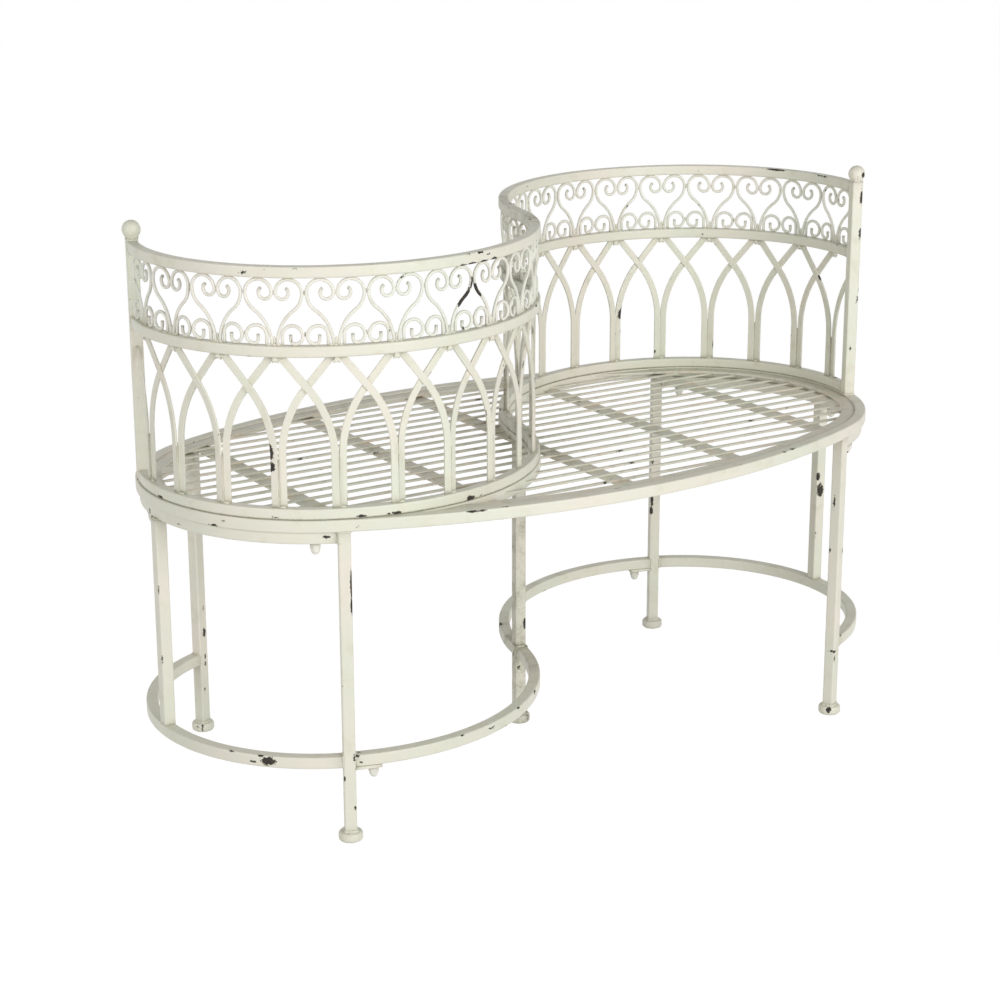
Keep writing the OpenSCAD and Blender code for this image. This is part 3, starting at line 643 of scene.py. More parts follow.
def paint(name, base, dullness=0.0, chipping=1.0):
    """Old gloss paint: uneven tone, dirt and painted shade in the corners, painted shade on the
    upper faces and in the back's tight bend, chips down to dark, rusty metal.
    """
    found = bpy.data.materials.get(name)
    if found:
        return found
    p = bpy.context.scene.bench_paint
    dirt_and_shade, top_shade, metal, rust = tuple(p.dirt_and_shade), tuple(p.top_shade), tuple(p.metal), tuple(p.rust)
    material, n, main = shader(name)
    place = n.add("TexCoord", "Object")

    def noise(scale, detail, rough=0.55):
        return n.add("TexNoise", "Fac", {"Scale": scale, "Detail": detail, "Roughness": rough,
                                         "Vector": place})

    def tinted(*shares):
        return tuple(c * s for c, s in zip(base, shares))

    edge, worn, grime = (n.add("Attribute", "Fac", attribute_name=a)
                         for a in ("edge", "worn", "grime"))
    broad, blotch, speck, ragged = (noise(5, 3), noise(38, 4), noise(260, 5, 0.62),
                                    noise(520, 4, 0.6))
    warm, rosy = tinted(0.97, 0.945, 0.86), tinted(1.03, 0.985, 0.975)
    mossy, stain = tinted(0.96, 0.985, 0.95), tinted(1.05, 0.93, 0.86)
    tone = n.mix(n.span(broad, 0.36, 0.64), rosy, mossy)
    tone = n.mix(n.span(blotch, 0.48, 0.74, 0, 0.45), tone, warm)

    # Dirt and painted shade lie in the corners and seams, and dirt lies in blotches
    # Painted shade: the back's tight bend near the middle is darkened, where its bars shade each
    # other
    level = n.add("VectorMath", "Vector", {0: place, 1: (1, 1, 0)}, operation="MULTIPLY")
    from_middle = n.add("VectorMath", "Value", {0: level}, operation="LENGTH")
    bend_shade = n.span(from_middle, 0.05, 0.19, 1.0, 0.0)
    dirt_and_shade_share = n.maths("ADD", n.maths("MULTIPLY", grime, 0.55),
                    n.maths("MULTIPLY", n.span(blotch, 0.55, 0.8), 0.16 + dullness))
    dirt_and_shade_share = n.maths("MULTIPLY_ADD", bend_shade, n.span(blotch, 0.35, 0.7, 0.22, 0.62), dirt_and_shade_share)
    dirt_and_shade_share = n.maths("MULTIPLY", dirt_and_shade_share, n.span(speck, 0.3, 0.7, 0.45, 1.0))
    # Painted shade: faces that point up are darkened towards a dust-like grey, as they get less
    # light
    normal = n.add("NewGeometry", "True Normal")
    upward = n.add("SeparateXYZ", "Z", {"Vector": normal})
    top_shade_share = n.maths("MULTIPLY", n.span(upward, 0.55, 0.95, 0, 0.29),
                    n.span(speck, 0.25, 0.7, 0.5, 1.0))
    tone = n.mix(top_shade_share, tone, top_shade)
    if dullness > 0.1:
        tone = n.mix(n.span(noise(24, 5, 0.68), 0.47, 0.66, 0, 0.8), tone, stain)
        tone = n.mix(n.span(noise(75, 5, 0.72), 0.54, 0.72, 0, 0.42), tone, dirt_and_shade)
    tone = n.mix(dirt_and_shade_share, tone, dirt_and_shade)

    # Chips show where wear and the specks together pass a threshold
    edge_share = 0.055 * (0.5 + p.chips) * chipping
    chip = n.maths("ADD", n.maths("MULTIPLY", speck, 0.62), n.maths("MULTIPLY", ragged, 0.38))
    chip = n.maths("MULTIPLY_ADD", worn, 0.55, chip)
    chip = n.maths("MULTIPLY_ADD", edge, edge_share, chip)
    chip = n.maths("MULTIPLY_ADD", n.span(blotch, 0.5, 0.75), 0.06, chip)
    bare, halo = n.span(chip, 0.775, 0.805), n.span(chip, 0.72, 0.79)
    rusty = n.mix(n.span(noise(140, 3), 0.45, 0.65), metal, rust)
    rusty = n.mix(n.span(speck, 0.4, 0.75, 0.0, 0.35), rusty, metal)
    tone = n.mix(n.maths("MULTIPLY", halo, 0.35), tone, dirt_and_shade)
    n.give(main.inputs["Base Color"], n.mix(bare, tone, rusty))

    gloss = n.maths("ADD", n.span(blotch, 0.3, 0.8, 0.38, 0.52), n.maths("MULTIPLY", dirt_and_shade_share, 0.3))
    gloss = n.maths("MAXIMUM", gloss, n.maths("MULTIPLY", bare, 0.78))
    n.give(main.inputs["Roughness"], gloss)
    n.give(main.inputs["Specular IOR Level"], 0.38)
    height = n.maths("MULTIPLY_ADD", bare, -1.0, n.maths("MULTIPLY", noise(170, 3), 0.35))
    height = n.maths("MULTIPLY_ADD", speck, 0.10, height)
    bumps = {"Strength": 0.38, "Distance": 0.00035, "Height": height}
    n.give(main.inputs["Normal"], n.add("Bump", "Normal", bumps))
    return material


def frame_paint():
    return paint("cream_frame_paint", tuple(bpy.context.scene.bench_paint.cream))


def scroll_paint():
    cream, paler = bpy.context.scene.bench_paint.cream, (0.045, 0.050, 0.080)
    return paint("cream_scroll_paint", tuple(c + d for c, d in zip(cream, paler)), 0.04, 0.6)


# Darker, greyer cream with more dirt: partly painted shade on the thin seat bars, partly real dirt
def seat_paint():
    return paint("dull_and_shaded_seat_paint", tuple(bpy.context.scene.bench_paint.seat), 0.22, 0.9)


PAINTS = {"frame_paint": frame_paint, "seat_paint": seat_paint, "scroll_paint": scroll_paint,
          "fixings_paint": scroll_paint}


# Weld beads


def bead(pile, points, radius, seed, grime=0.3):
    """An uneven bead of weld, painted over, along a line of points. A line that comes back to
    its start is closed."""
    closed = math.dist(points[0], points[-1]) < math.dist(points[0], points[len(points) // 2])
    scatter = random.Random(seed)
    points = np.array(points, float)
    n = len(points)
    tangent = tangents(points, closed)
    reference = np.array(UP)
    if np.abs(tangent[:, 2]).max() > 0.8:
        reference = np.cross(tangent[0], tangent[n // 4]) if closed else np.array((1.0, 0, 0))
    side = np.cross(tangent, reference)
    side /= np.linalg.norm(side, axis=1)[:, None]
    size = np.array([radius * (1 + 0.22 * math.sin(i * 1.9 + scatter.random() * 2)
                               + scatter.uniform(-0.12, 0.12)) for i in range(n)])
    if not closed:
        size[[0, -1]] *= 0.45
    size = size[:, None]
    pile.sweep(points, side * size, np.cross(side, tangent) * size, round_section(2, 8, 0.1),
               closed=closed, grime=grime, flat_ends=False)


def square_loop(place, side, across, up=None, step=0.002, corner=0.0018):
    """Points round a square tube's outline. across and up are the outline's axes; without up,
    across is an angle and the outline lies level."""
    if up is None:
        across, up = ((math.cos(across), math.sin(across), 0.0),
                      (-math.sin(across), math.cos(across), 0.0))
    place, across, up = (np.array(v, float) for v in (place, across, up))
    half, run = side / 2, side - 2 * corner
    n = max(2, round(run / step))
    points = []
    for k in range(4):
        ca, sa = math.cos(k * math.pi / 2), math.sin(k * math.pi / 2)
        for i in range(n + 1):
            u, v = half, -half + corner + run * i / n
            points.append(place + (u * ca - v * sa) * across + (u * sa + v * ca) * up)
    return points


def collar(pile, place, side, across, radius, seed, up=None):
    """A bead round a square tube."""
    bead(pile, square_loop(place, side, across, up), radius, seed)


def short_run(place, direction, reach, step=0.0016):
    """Points along a short straight, either way from its middle."""
    place, direction = np.array(place, float), np.array(direction, float)
    n = max(2, round(reach / step))
    return [place + direction * reach * i / n for i in range(-n, n + 1)]


# Operators, one for each piece or group of like pieces


class BenchOperator:
    """What the bench's operators have in common."""

    bl_options = {"REGISTER", "UNDO"}

    def sizes(self, context):
        """The bench's sizes and the lines worked out from them."""
        z = context.scene.bench_sizes
        return z, Lines(z)

    def done(self, made):
        if not made:
            raise RuntimeError(f"{self.bl_idname} made nothing")
        return {"FINISHED"}


class BENCH_OT_seat_rim(BenchOperator, Operator):
    """Bend the square tube of the oval seat rim"""

    bl_idname = "bench.seat_rim"
    bl_label = "Seat Rim"

    def execute(self, context):
        z, lines = self.sizes(context)
        return self.done(single(
            "seat_rim_tube", "frame_paint", "seat_rim",
            oval_path(lines, z.tube / 2, lines.rim_z + z.tube / 2),
            bar_section(z.tube, z.tube, z.tube_edge), closed=True))


class BENCH_OT_seat_ring(BenchOperator, Operator):
    """Lay the flat ring inside the rim"""

    bl_idname = "bench.seat_ring"
    bl_label = "Seat Ring"

    def execute(self, context):
        z, lines = self.sizes(context)
        # The ring is darkened along its outer edge, in the gap beside the rim
        inset = z.tube + 0.0002 + z.ring_width / 2
        return self.done(single(
            "seat_ring_flat", "seat_paint", "seat_ring",
            oval_path(lines, inset, lines.ring_z + z.ring_thickness / 2),
            bar_section(z.ring_width, z.ring_thickness, BAR_EDGE), closed=True,
            seam=(1, 0, 1.3)))


class BENCH_OT_seat_slats(BenchOperator, Operator):
    """Lay the thin slats that run along the seat"""

    bl_idname = "bench.seat_slats"
    bl_label = "Seat Slats"

    def execute(self, context):
        z, lines = self.sizes(context)
        pile = Pile()
        scatter = random.Random(3)
        room = z.seat_depth / 2 - z.tube - z.ring_width - z.slat_width / 2
        rows = int(room / z.slat_pitch + 0.5)
        height = lines.slat_z + z.slat_thickness / 2
        for i in range(-rows, rows):
            y = (i + 0.5) * z.slat_pitch
            x = lines.oval_x(y, z.tube + z.ring_width / 2)
            n = round(2 * x / 0.012) + 1
            phase, lean = scatter.uniform(0, 6), scatter.uniform(-0.0004, 0.0004)
            path = [(u, y + lean * math.sin(3 * u + phase), height)
                    for u in np.linspace(-x, x, n)]
            pile.sweep(path, [(0.0, -1.0, 0.0)] * n, [UP] * n,
                       bar_section(z.slat_width, z.slat_thickness, BAR_EDGE))
        return self.done(pile.make("seat_slat_bars", "seat_paint", "seat_slats"))


class BENCH_OT_seat_straps(BenchOperator, Operator):
    """Lay the flat straps that cross under the slats"""

    bl_idname = "bench.seat_straps"
    bl_label = "Seat Straps"

    def execute(self, context):
        z, lines = self.sizes(context)
        pile = Pile()
        for i in range(-2, 3):
            x = i * lines.strap_pitch
            y = lines.side_half(abs(x) + z.strap_width / 2, z.tube + 0.0004)
            n = round(2 * y / 0.006)
            path = [(x, v, lines.strap_z + z.strap_thickness / 2) for v in np.linspace(-y, y, n)]
            pile.sweep(path, [(1.0, 0.0, 0.0)] * n, [UP] * n,
                       bar_section(z.strap_width, z.strap_thickness, STRAP_EDGE),
                       grime_ends=0.012)
        return self.done(pile.make("seat_strap_bars", "seat_paint", "seat_straps"))


class BENCH_OT_centre_rail(BenchOperator, Operator):
    """Bend the S-shaped tube in the seat under the back"""

    bl_idname = "bench.centre_rail"
    bl_label = "Centre Rail"

    def execute(self, context):
        z, lines = self.sizes(context)
        return self.done(single(
            "seat_centre_tube", "frame_paint", "seat_centre_rail",
            back_path(lines, lines.rim_z + z.tube / 2 - 0.0001, lines.bend_l - 0.03),
            bar_section(z.tube, z.tube - 0.0002, z.tube_edge)))


class BENCH_OT_back_rails(BenchOperator, Operator):
    """Bend the three S-shaped rails of the back"""

    bl_idname = "bench.back_rails"
    bl_label = "Back Rails"

    def execute(self, context):
        z, lines = self.sizes(context)
        made = []
        reach = lines.back_l - z.tube / 2 + 0.0005
        # The rails are darkened along their undersides, the bottom rail most where it sits on the
        # rim: dirt and painted shade of the gap
        for node, low, dirt_and_shade in (("bottom_rail", z.seat_height + 0.00015, 1.9),
                                ("middle_rail", lines.middle_z, 0.3),
                                ("top_rail", lines.top_z, 0.3)):
            made.append(single(
                node + "_tube", "frame_paint", node, back_path(lines, low + z.rail / 2, reach),
                bar_section(z.rail, z.rail, z.tube_edge), grime_ends=0.006, seam=(0, -1, dirt_and_shade)))
        return self.done(made)


class BENCH_OT_end_posts(BenchOperator, Operator):
    """Stand the end posts of the back and their balls"""

    bl_idname = "bench.end_posts"
    bl_label = "End Posts and Balls"

    def execute(self, context):
        z, lines = self.sizes(context)
        made = []
        r = z.ball / 2
        sink = math.sqrt(r ** 2 - (z.tube / 2 - 0.0015) ** 2)
        profile = [(r * math.cos(t), r * math.sin(t))
                   for t in np.linspace(-math.pi / 2 + 0.06, math.pi / 2 - 0.02, 28)]
        for name, sign in SIDES:
            x, y, a = lines.back_at(sign * lines.back_l)
            made.append(single(
                name + "_post_tube", "frame_paint", name + "_end_post",
                post_path(x, y, a, z.seat_height + 0.0001, lines.post_z),
                bar_section(z.tube, z.tube, z.tube_edge), grime_ends=0.004))
            ball = Pile()
            ball.turn(profile, (x, y, lines.post_z + 0.0002 + sink), 56)
            made.append(ball.make(name + "_ball", "frame_paint", name + "_ball_finial"))
        return self.done(made)


class BENCH_OT_arches(BenchOperator, Operator):
    """Bend the flat bars that cross as gothic arches"""

    bl_idname = "bench.arches"
    bl_label = "Gothic Arches"

    def bar(self, z, span):
        """One bar, drawn flat: upright at its foot, bent over, straight to its head."""
        half, overhang = z.arch_width / 2, 1.43
        foot = SNUG + half
        rise = z.arch_height - z.arch_foot
        lean = math.atan((span - 2 * foot) / rise) * overhang
        head = span - SNUG - half / math.cos(lean)
        r = (rise * math.sin(lean) - (head - foot) * math.cos(lean)) / (1 - math.cos(lean))
        straight = (rise - r * math.sin(lean)) / math.cos(lean)
        return bend((foot, 0, 90), ((0, z.arch_foot), (r, -math.degrees(lean)),
                                    (0, straight)), 0.003)

    def add_bar(self, pile, z, lines, start, end, flat, cut=False):
        """A bar stood at start, leaning towards end, and cut off where it meets a post there."""
        layer_gap, post_room = 0.00004, 0.006
        heading = math.atan2(end[1] - start[1], end[0] - start[0])
        path = stand(flat, (start[0], start[1], lines.arch_z), heading,
                     z.arch_thickness / 2 + layer_gap)
        if cut:
            clear = [math.dist(p[:2], end[:2]) > post_room for p in path]
            path = path[:clear.index(False)] if False in clear else path
        pile.sweep(path, *wire_axes(path, heading),
                   bar_section(z.arch_width, z.arch_thickness, BAR_EDGE), grime_ends=0.005,
                   level_ends=True)

    def execute(self, context):
        z, lines = self.sizes(context)
        made = []
        for name, sign in SIDES:
            pile = Pile()
            marks = [lines.back_at(sign * i * lines.bay) for i in range(lines.bays + 1)]
            for a, b in zip(marks, marks[1:]):
                flat = self.bar(z, math.hypot(b[0] - a[0], b[1] - a[1]))
                self.add_bar(pile, z, lines, a, b, flat)
                self.add_bar(pile, z, lines, b, a, flat)
            self.add_bar(pile, z, lines, marks[-1], lines.back_at(sign * lines.back_l),
                         self.bar(z, lines.bay), cut=True)
            made.append(pile.make(name + "_arch_flat_bars", "frame_paint",
                                  name + "_arch_bars"))
        return self.done(made)


def bend_rods(z, lines, flat, rods, nodes):
    """The left, middle and right pieces of a rod, drawn flat, that stands on both sides of
    every heart's point."""
    made = []
    groups = (("left", range(-lines.bays, 0)), ("middle", (0,)),
              ("right", range(1, lines.bays + 1)))
    for (name, marks), node in zip(groups, nodes):
        pile = Pile()
        for i in marks:
            x, y, a = lines.back_at(i * lines.bay)
            for side in (1, -1):
                path = stand([(side * u, v) for u, v in flat], (x, y, lines.heart_z), a)
                pile.sweep(path, *wire_axes(path, a), round_section(z.wire), grime_ends=0.004)
        made.append(pile.make(name + rods, "scroll_paint", node))
    return made


class BENCH_OT_hearts(BenchOperator, Operator):
    """Bend the rods of the heart scrolls"""

    bl_idname = "bench.hearts"
    bl_label = "Heart Scrolls"

    def execute(self, context):
        z, lines = self.sizes(context)
        foot, neck, curl_r, tip_r = 0.0035, 0.67, 0.0086, 0.007
        reach = z.heart_height - ROD_GAP - z.wire / 2 - lines.lobe
        spread = lines.heart_out - foot
        r = (spread ** 2 + reach ** 2) / (2 * spread)
        sweep = math.degrees(math.acos(1 - spread / r))
        flat = bend((foot, 0, 90), ((r * neck, -sweep), (r * (1 - neck), sweep),
                                    (lines.lobe, 180), (curl_r, 180), (tip_r, 60)))
        return self.done(bend_rods(z, lines, flat, "_heart_rods", (
            "left_heart_scrolls", "middle_heart_scroll", "right_heart_scrolls")))


class BENCH_OT_small_scrolls(BenchOperator, Operator):
    """Bend the small scrolls beside the hearts' points"""

    bl_idname = "bench.small_scrolls"
    bl_label = "Small Scrolls"

    def execute(self, context):
        z, lines = self.sizes(context)
        foot, height, curl_r, tip = 0.0104, 0.0288, 0.0055, 0.0065
        crown = (lines.heart_out - foot) / 2
        rise = height - z.wire / 2 - crown
        flat = bend((foot, 0, 90), ((0, rise), (crown, -180), (rise - ROD_GAP - z.wire / 2, -90),
                                    (curl_r, -90), (0, tip)))
        return self.done(bend_rods(z, lines, flat, "_small_scroll_rods", (
            "left_small_scrolls", "middle_small_scrolls", "right_small_scrolls")))


class BENCH_OT_legs(BenchOperator, Operator):
    """Stand the corner legs, the centre leg and the uprights"""

    bl_idname = "bench.legs"
    bl_label = "Legs and Uprights"

    def execute(self, context):
        z, lines = self.sizes(context)
        top, end_x = z.stretcher_height + z.tube, lines.half - z.tube / 2
        posts = [(name + "_leg", sx * lines.leg_x, sy * lines.leg_y, -sx * sy * lines.leg_turn,
                  z.foot_height, lines.rim_z) for name, sx, sy in LEGS]
        posts += [
            ("centre_leg", 0.0, 0.0, lines.middle_a, z.foot_height, z.stretcher_height),
            ("centre_upright", 0.0, 0.0, lines.middle_a, top, lines.rim_z),
            ("left_end_upright", -end_x, 0.0, 0.0, top, lines.support_z),
            ("right_end_upright", end_x, 0.0, 0.0, top, lines.support_z),
        ]
        section = bar_section(z.tube, z.tube, z.tube_edge)
        return self.done([single(name + "_tube", "frame_paint", name, post_path(*post), section,
                                 grime_ends=0.004) for name, *post in posts])


class BENCH_OT_feet(BenchOperator, Operator):
    """Turn the disc feet"""

    bl_idname = "bench.feet"
    bl_label = "Feet"

    def execute(self, context):
        z, lines = self.sizes(context)
        made = []
        r, h, e, bore = z.foot / 2, z.foot_height, 0.0045, 0.004
        quarter = np.linspace(0, math.pi / 2, 9)
        lower = [(r - e + e * math.sin(t), e - e * math.cos(t)) for t in quarter]
        upper = [(r - e + e * math.cos(t), h - e + e * math.sin(t)) for t in quarter]
        flat_r = r - e - 0.002
        profile = [(bore, 0.0), (flat_r, 0.0), *lower, *upper, (flat_r, h), (bore, h)]
        wear = [0.0, 0.3, *[0.5] * 9, *[0.45] * 9, 0.2, 0.0]
        grime = [1.0, 0.9, *np.linspace(0.8, 0.2, 9), *np.linspace(0.1, 0.2, 9), 0.45, 0.7]
        places = [(name, sx * lines.leg_x, sy * lines.leg_y) for name, sx, sy in LEGS]
        for name, x, y in [*places, ("centre", 0.0, 0.0)]:
            pile = Pile()
            pile.turn(profile, (x, y, 0.0), 64, wear, grime)
            made.append(pile.make(name + "_foot_disc", "frame_paint", name + "_foot"))
        return self.done(made)


class BENCH_OT_stretchers(BenchOperator, Operator):
    """Bend the support rails under the rim and the stretchers below"""

    bl_idname = "bench.stretchers"
    bl_label = "Support Rails and Stretchers"

    def execute(self, context):
        z, lines = self.sizes(context)
        made = []
        section = bar_section(z.tube, z.tube, z.tube_edge)
        for node, radius, low in (("support_rail", lines.support_r, lines.support_z),
                                  ("stretcher", lines.rim_r, z.stretcher_height)):
            trim = (z.tube / 2 - 0.001) / radius
            arc = arc_path(-lines.end_x, radius, lines.leg_a + trim,
                           math.tau - lines.leg_a - trim, low + z.tube / 2)
            for name, _ in SIDES:
                pile = Pile()
                pile.sweep(*arc, section, grime_ends=0.008)
                if name == "right":
                    pile.half_turn(keep=False)
                made.append(pile.make(f"{name}_{node}_tube", "frame_paint", f"{name}_{node}"))
        reach = lines.bend_r * (lines.bend_end - lines.leg_bend_a) - z.tube / 2 + 0.001
        made.append(single(
            "centre_stretcher_tube", "frame_paint", "centre_stretcher",
            back_path(lines, z.stretcher_height + z.tube / 2, reach), section,
            grime_ends=0.005))
        return self.done(made)


class BENCH_OT_fixings(BenchOperator, Operator):
    """Fit the tabs, washers and cap nuts"""

    bl_idname = "bench.fixings"
    bl_label = "Tabs, Washers and Cap Nuts"
    washer_r, washer_t, tab_t = 0.008, 0.0016, 0.004

    def nut(self, pile, x, y, top, turn):
        """A six-sided cap nut that hangs below top."""
        flat, hex_h, dome, hex_r, bevel = 0.0065, 0.0065, 0.0063, 0.00752, 0.0072

        def six(r, h, a):
            if h < -hex_h - 0.0001 or r < 0.0056:
                return r
            wedge = (a - turn) % (math.pi / 3) - math.pi / 6
            return min(r, flat / math.cos(wedge))

        round_off = [(dome * math.cos(t), -hex_h - 0.0005 - 0.0078 * math.sin(t))
                     for t in np.linspace(0.0, math.pi / 2 - 0.05, 14)]
        profile = [(0.0042, 0.0), (0.0066, 0.0), (bevel, -0.0003), (hex_r, -0.0008),
                   (hex_r, -0.0058), (bevel, -0.0062), (0.0066, -hex_h), *round_off][::-1]
        grime = [min(1.0, max(0.0, 1 + h / 0.002)) * 0.8 for _, h in profile]
        pile.turn(profile, (x, y, top), wear=0.35, grime=grime, radius=six)

    def washer(self, pile, x, y, low):
        r, t, edge, bore = self.washer_r, self.washer_t, 0.0004, 0.0044
        profile = [(bore, 0.0), (r - edge, 0.0), (r, edge), (r, t - edge), (r - edge, t),
                   (bore, t)]
        pile.turn(profile, (x, y, low), wear=[0, 0.4, 0.6, 0.6, 0.4, 0], grime=1.1)

    def tabs(self, place, heading, low):
        """The plates that bolt the centre stretcher to the legs."""
        tabs = Pile()
        c, s = math.cos(heading), math.sin(heading)
        path = [(place[0] + u * c, place[1] + u * s, low + self.tab_t / 2)
                for u in np.linspace(-0.0275, 0.010, 12)]
        tabs.sweep(path, [(s, -c, 0.0)] * 12, [UP] * 12,
                   bar_section(0.020, self.tab_t, STRAP_EDGE), grime_ends=0.004)
        tabs.half_turn()
        return tabs.make("stretcher_tab_plates", "frame_paint", "stretcher_tabs")

    def execute(self, context):
        z, lines = self.sizes(context)
        tab_a = lines.leg_bend_a + 0.035 / lines.bend_r
        tab = (lines.bend_x + lines.bend_r * math.cos(tab_a),
               lines.bend_y + lines.bend_r * math.sin(tab_a))
        tab_z = z.stretcher_height - self.tab_t
        seat = [(-lines.end_x + lines.support_r * math.cos(math.radians(a)),
                 lines.support_r * math.sin(math.radians(a))) for a in (120, 172, 240)]
        made = [self.tabs(tab, tab_a + math.pi / 2, tab_z)]
        for name, places, top in (("stretcher", [tab], tab_z), ("seat", seat, lines.support_z)):
            washers, nuts = Pile(), Pile()
            for k, (x, y) in enumerate(places):
                self.washer(washers, x, y, top - self.washer_t)
                self.nut(nuts, x, y, top - self.washer_t, 0.4 + 0.7 * k)
            for pile, piece, node in ((washers, "washer_discs", "washers"),
                                      (nuts, "cap_nuts", "nuts")):
                pile.half_turn()
                made.append(pile.make(f"{name}_{piece}", "fixings_paint", f"{name}_{node}"))
        for node in ("stretcher_studs", "seat_studs"):
            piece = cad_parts[node]
            for k in range(len(piece.data.materials)):
                piece.data.materials[k] = scroll_paint()
            made.append(piece)
        return self.done(made)


class BENCH_OT_welds(BenchOperator, Operator):
    """Run the weld beads where tubes and bars meet"""

    bl_idname = "bench.welds"
    bl_label = "Weld Beads"

    def tubes(self, pile, z, lines):
        """Beads round the ends of legs, uprights, posts, rails and stretchers."""
        r, half = z.bead, z.tube / 2
        for k, (_, sx, sy) in enumerate(LEGS):
            x, y, turn = sx * lines.leg_x, sy * lines.leg_y, -sx * sy * lines.leg_turn
            collar(pile, (x, y, z.foot_height + 0.0006), z.tube, turn, r * 1.6, k)
            collar(pile, (x, y, lines.rim_z - 0.0003), z.tube, turn, r, k + 10)
        collar(pile, (0, 0, z.foot_height + 0.0003), z.tube, lines.middle_a, r, 20)
        ends = ((0, lines.middle_a, lines.rim_z), (-1, 0, lines.support_z),
                (1, 0, lines.support_z))
        for k, (side, turn, high) in enumerate(ends):
            x = side * (lines.half - half)
            size = z.tube - 2.8 * r * abs(side)
            collar(pile, (x, 0, z.stretcher_height + z.tube + 0.0002), size, turn, r, k + 30)
            collar(pile, (x, 0, high - 0.0002), size, turn, r, k + 40)
        for sign in (-1, 1):
            x, y, a = lines.back_at(sign * lines.back_l)
            collar(pile, (x, y, z.seat_height + 0.0004), z.tube, a, r, 50 + sign)
            x, y, a = lines.back_at(sign * (lines.back_l - half - 0.0004))
            across = (math.sin(a), -math.cos(a), 0.0)
            for low in (z.seat_height, lines.middle_z, lines.top_z):
                collar(pile, (x, y, low + z.rail / 2 + 0.0002), z.rail - 0.0004, across,
                       r * 0.85, round(low * 1000) + sign, UP)
        for radius, low in ((lines.support_r, lines.support_z),
                            (lines.rim_r, z.stretcher_height)):
            trim = (half + 0.0002) / radius
            for sign in (-1, 1):
                for a in (lines.leg_a + trim, math.tau - lines.leg_a - trim):
                    out = (-sign * math.cos(a), -sign * math.sin(a), 0.0)
                    place = (sign * lines.end_x + radius * out[0], radius * out[1], low + half)
                    collar(pile, place, z.tube, out, r, round(a * 100) + sign, UP)
        # A collar of two beads where the centre stretcher's halves meet
        for k, s in enumerate((-0.0105, -0.0065)):
            x, y, a = lines.back_at(s)
            across = (math.sin(a), -math.cos(a), 0.0)
            collar(pile, (x, y, z.stretcher_height + half), z.tube, across, r * 1.8, 60 + k, UP)

    def balls(self, pile, z, lines):
        """A fillet of weld between each ball and its post."""
        for sign in (-1, 1):
            x, y, _ = lines.back_at(sign * lines.back_l)
            for radius, lift, size in ((0.0074, 0.0004, 1.5), (0.0082, 0.0016, 1.25)):
                ring = [(x + radius * math.cos(t), y + radius * math.sin(t),
                         lines.post_z + lift) for t in np.linspace(0, math.tau, 30)[:-1]]
                bead(pile, ring, z.bead * size, 70 + sign)

    def plate(self, pile, at, along, across, levels, widths, section, **grime):
        """A thin upright plate that narrows or widens between two levels."""
        n = len(levels)
        path = [at + np.array(UP) * h for h in levels]
        pile.sweep(path, along * np.linspace(*widths, n)[:, None], [across] * n, section,
                   **grime)

    def bars(self, pile, z, lines):
        """Seams between the arches' feet, and blobs of weld where bars and rods touch."""
        up = np.array(UP)
        web_h, web_arch, seam_h = 0.0062, 0.0022, 0.066
        lobe_z, web_z = lines.crown_z - lines.lobe, lines.middle_z - web_h

        def run(at, level, direction, reach, size, seed):
            """A short straight bead, either way from a point on the back's line."""
            bead(pile, short_run(at + up * level, direction, reach), z.bead * size, seed, 0.1)

        for i in range(-lines.bays, lines.bays + 1):
            x, y, a = lines.back_at(i * lines.bay)
            at = np.array((x, y, 0.0))
            along = np.array((math.cos(a), math.sin(a), 0.0))
            across = np.array((-math.sin(a), math.cos(a), 0.0))
            self.plate(pile, at, along, across,
                       np.linspace(lines.arch_z, lines.arch_z + seam_h, 18), (1.0, 0.35),
                       bar_section(0.0019, 0.0056, 0.0006), grime_ends=0.05)
            run(at, lines.arch_z + 0.0006, along, 0.0085, 1.2, i)
            run(at, lines.middle_z - 0.0005, along, 0.0085, 1.0, i + 100)
            self.plate(pile, at, along, across, np.linspace(lines.middle_z + 0.0004, web_z, 6),
                       (0.5, 1.0), bar_section(0.0092, 0.0054, 0.0012))
            arch = [at + along * 0.0044 * u + up * (web_z - web_arch * u * u)
                    for u in np.linspace(-1, 1, 9)]
            bead(pile, arch, z.bead * 1.1, i + 200, 0.1)
            run(at, lines.heart_z + 0.0008, along, 0.0115, 1.2, i + 300)
            run(at, lines.heart_z + 0.0070, up, 0.0050, 1.1, i + 400)
            run(at, lobe_z, up, 0.0026, 0.8, i + 500)
            for side in (-1, 1):
                run(at + side * (lines.heart_out - lines.lobe) * along,
                    lines.crown_z + z.wire / 2 - 0.0004, along, 0.0034, 0.9, i + 600 + side)
        for i in range(-lines.bays, lines.bays):
            x, y, _ = lines.back_at((i + 0.5) * lines.bay)
            for level in (lobe_z, lines.heart_z + 0.0150):
                run(np.array((x, y, 0.0)), level, up, 0.0030, 0.9, i + 700)

    def execute(self, context):
        z, lines = self.sizes(context)
        made = []
        for name, run in (("tube_welds", self.tubes), ("ball_welds", self.balls),
                          ("bar_welds", self.bars)):
            pile = Pile()
            run(pile, z, lines)
            made.append(pile.make(name, "frame_paint"))
        return self.done(made)


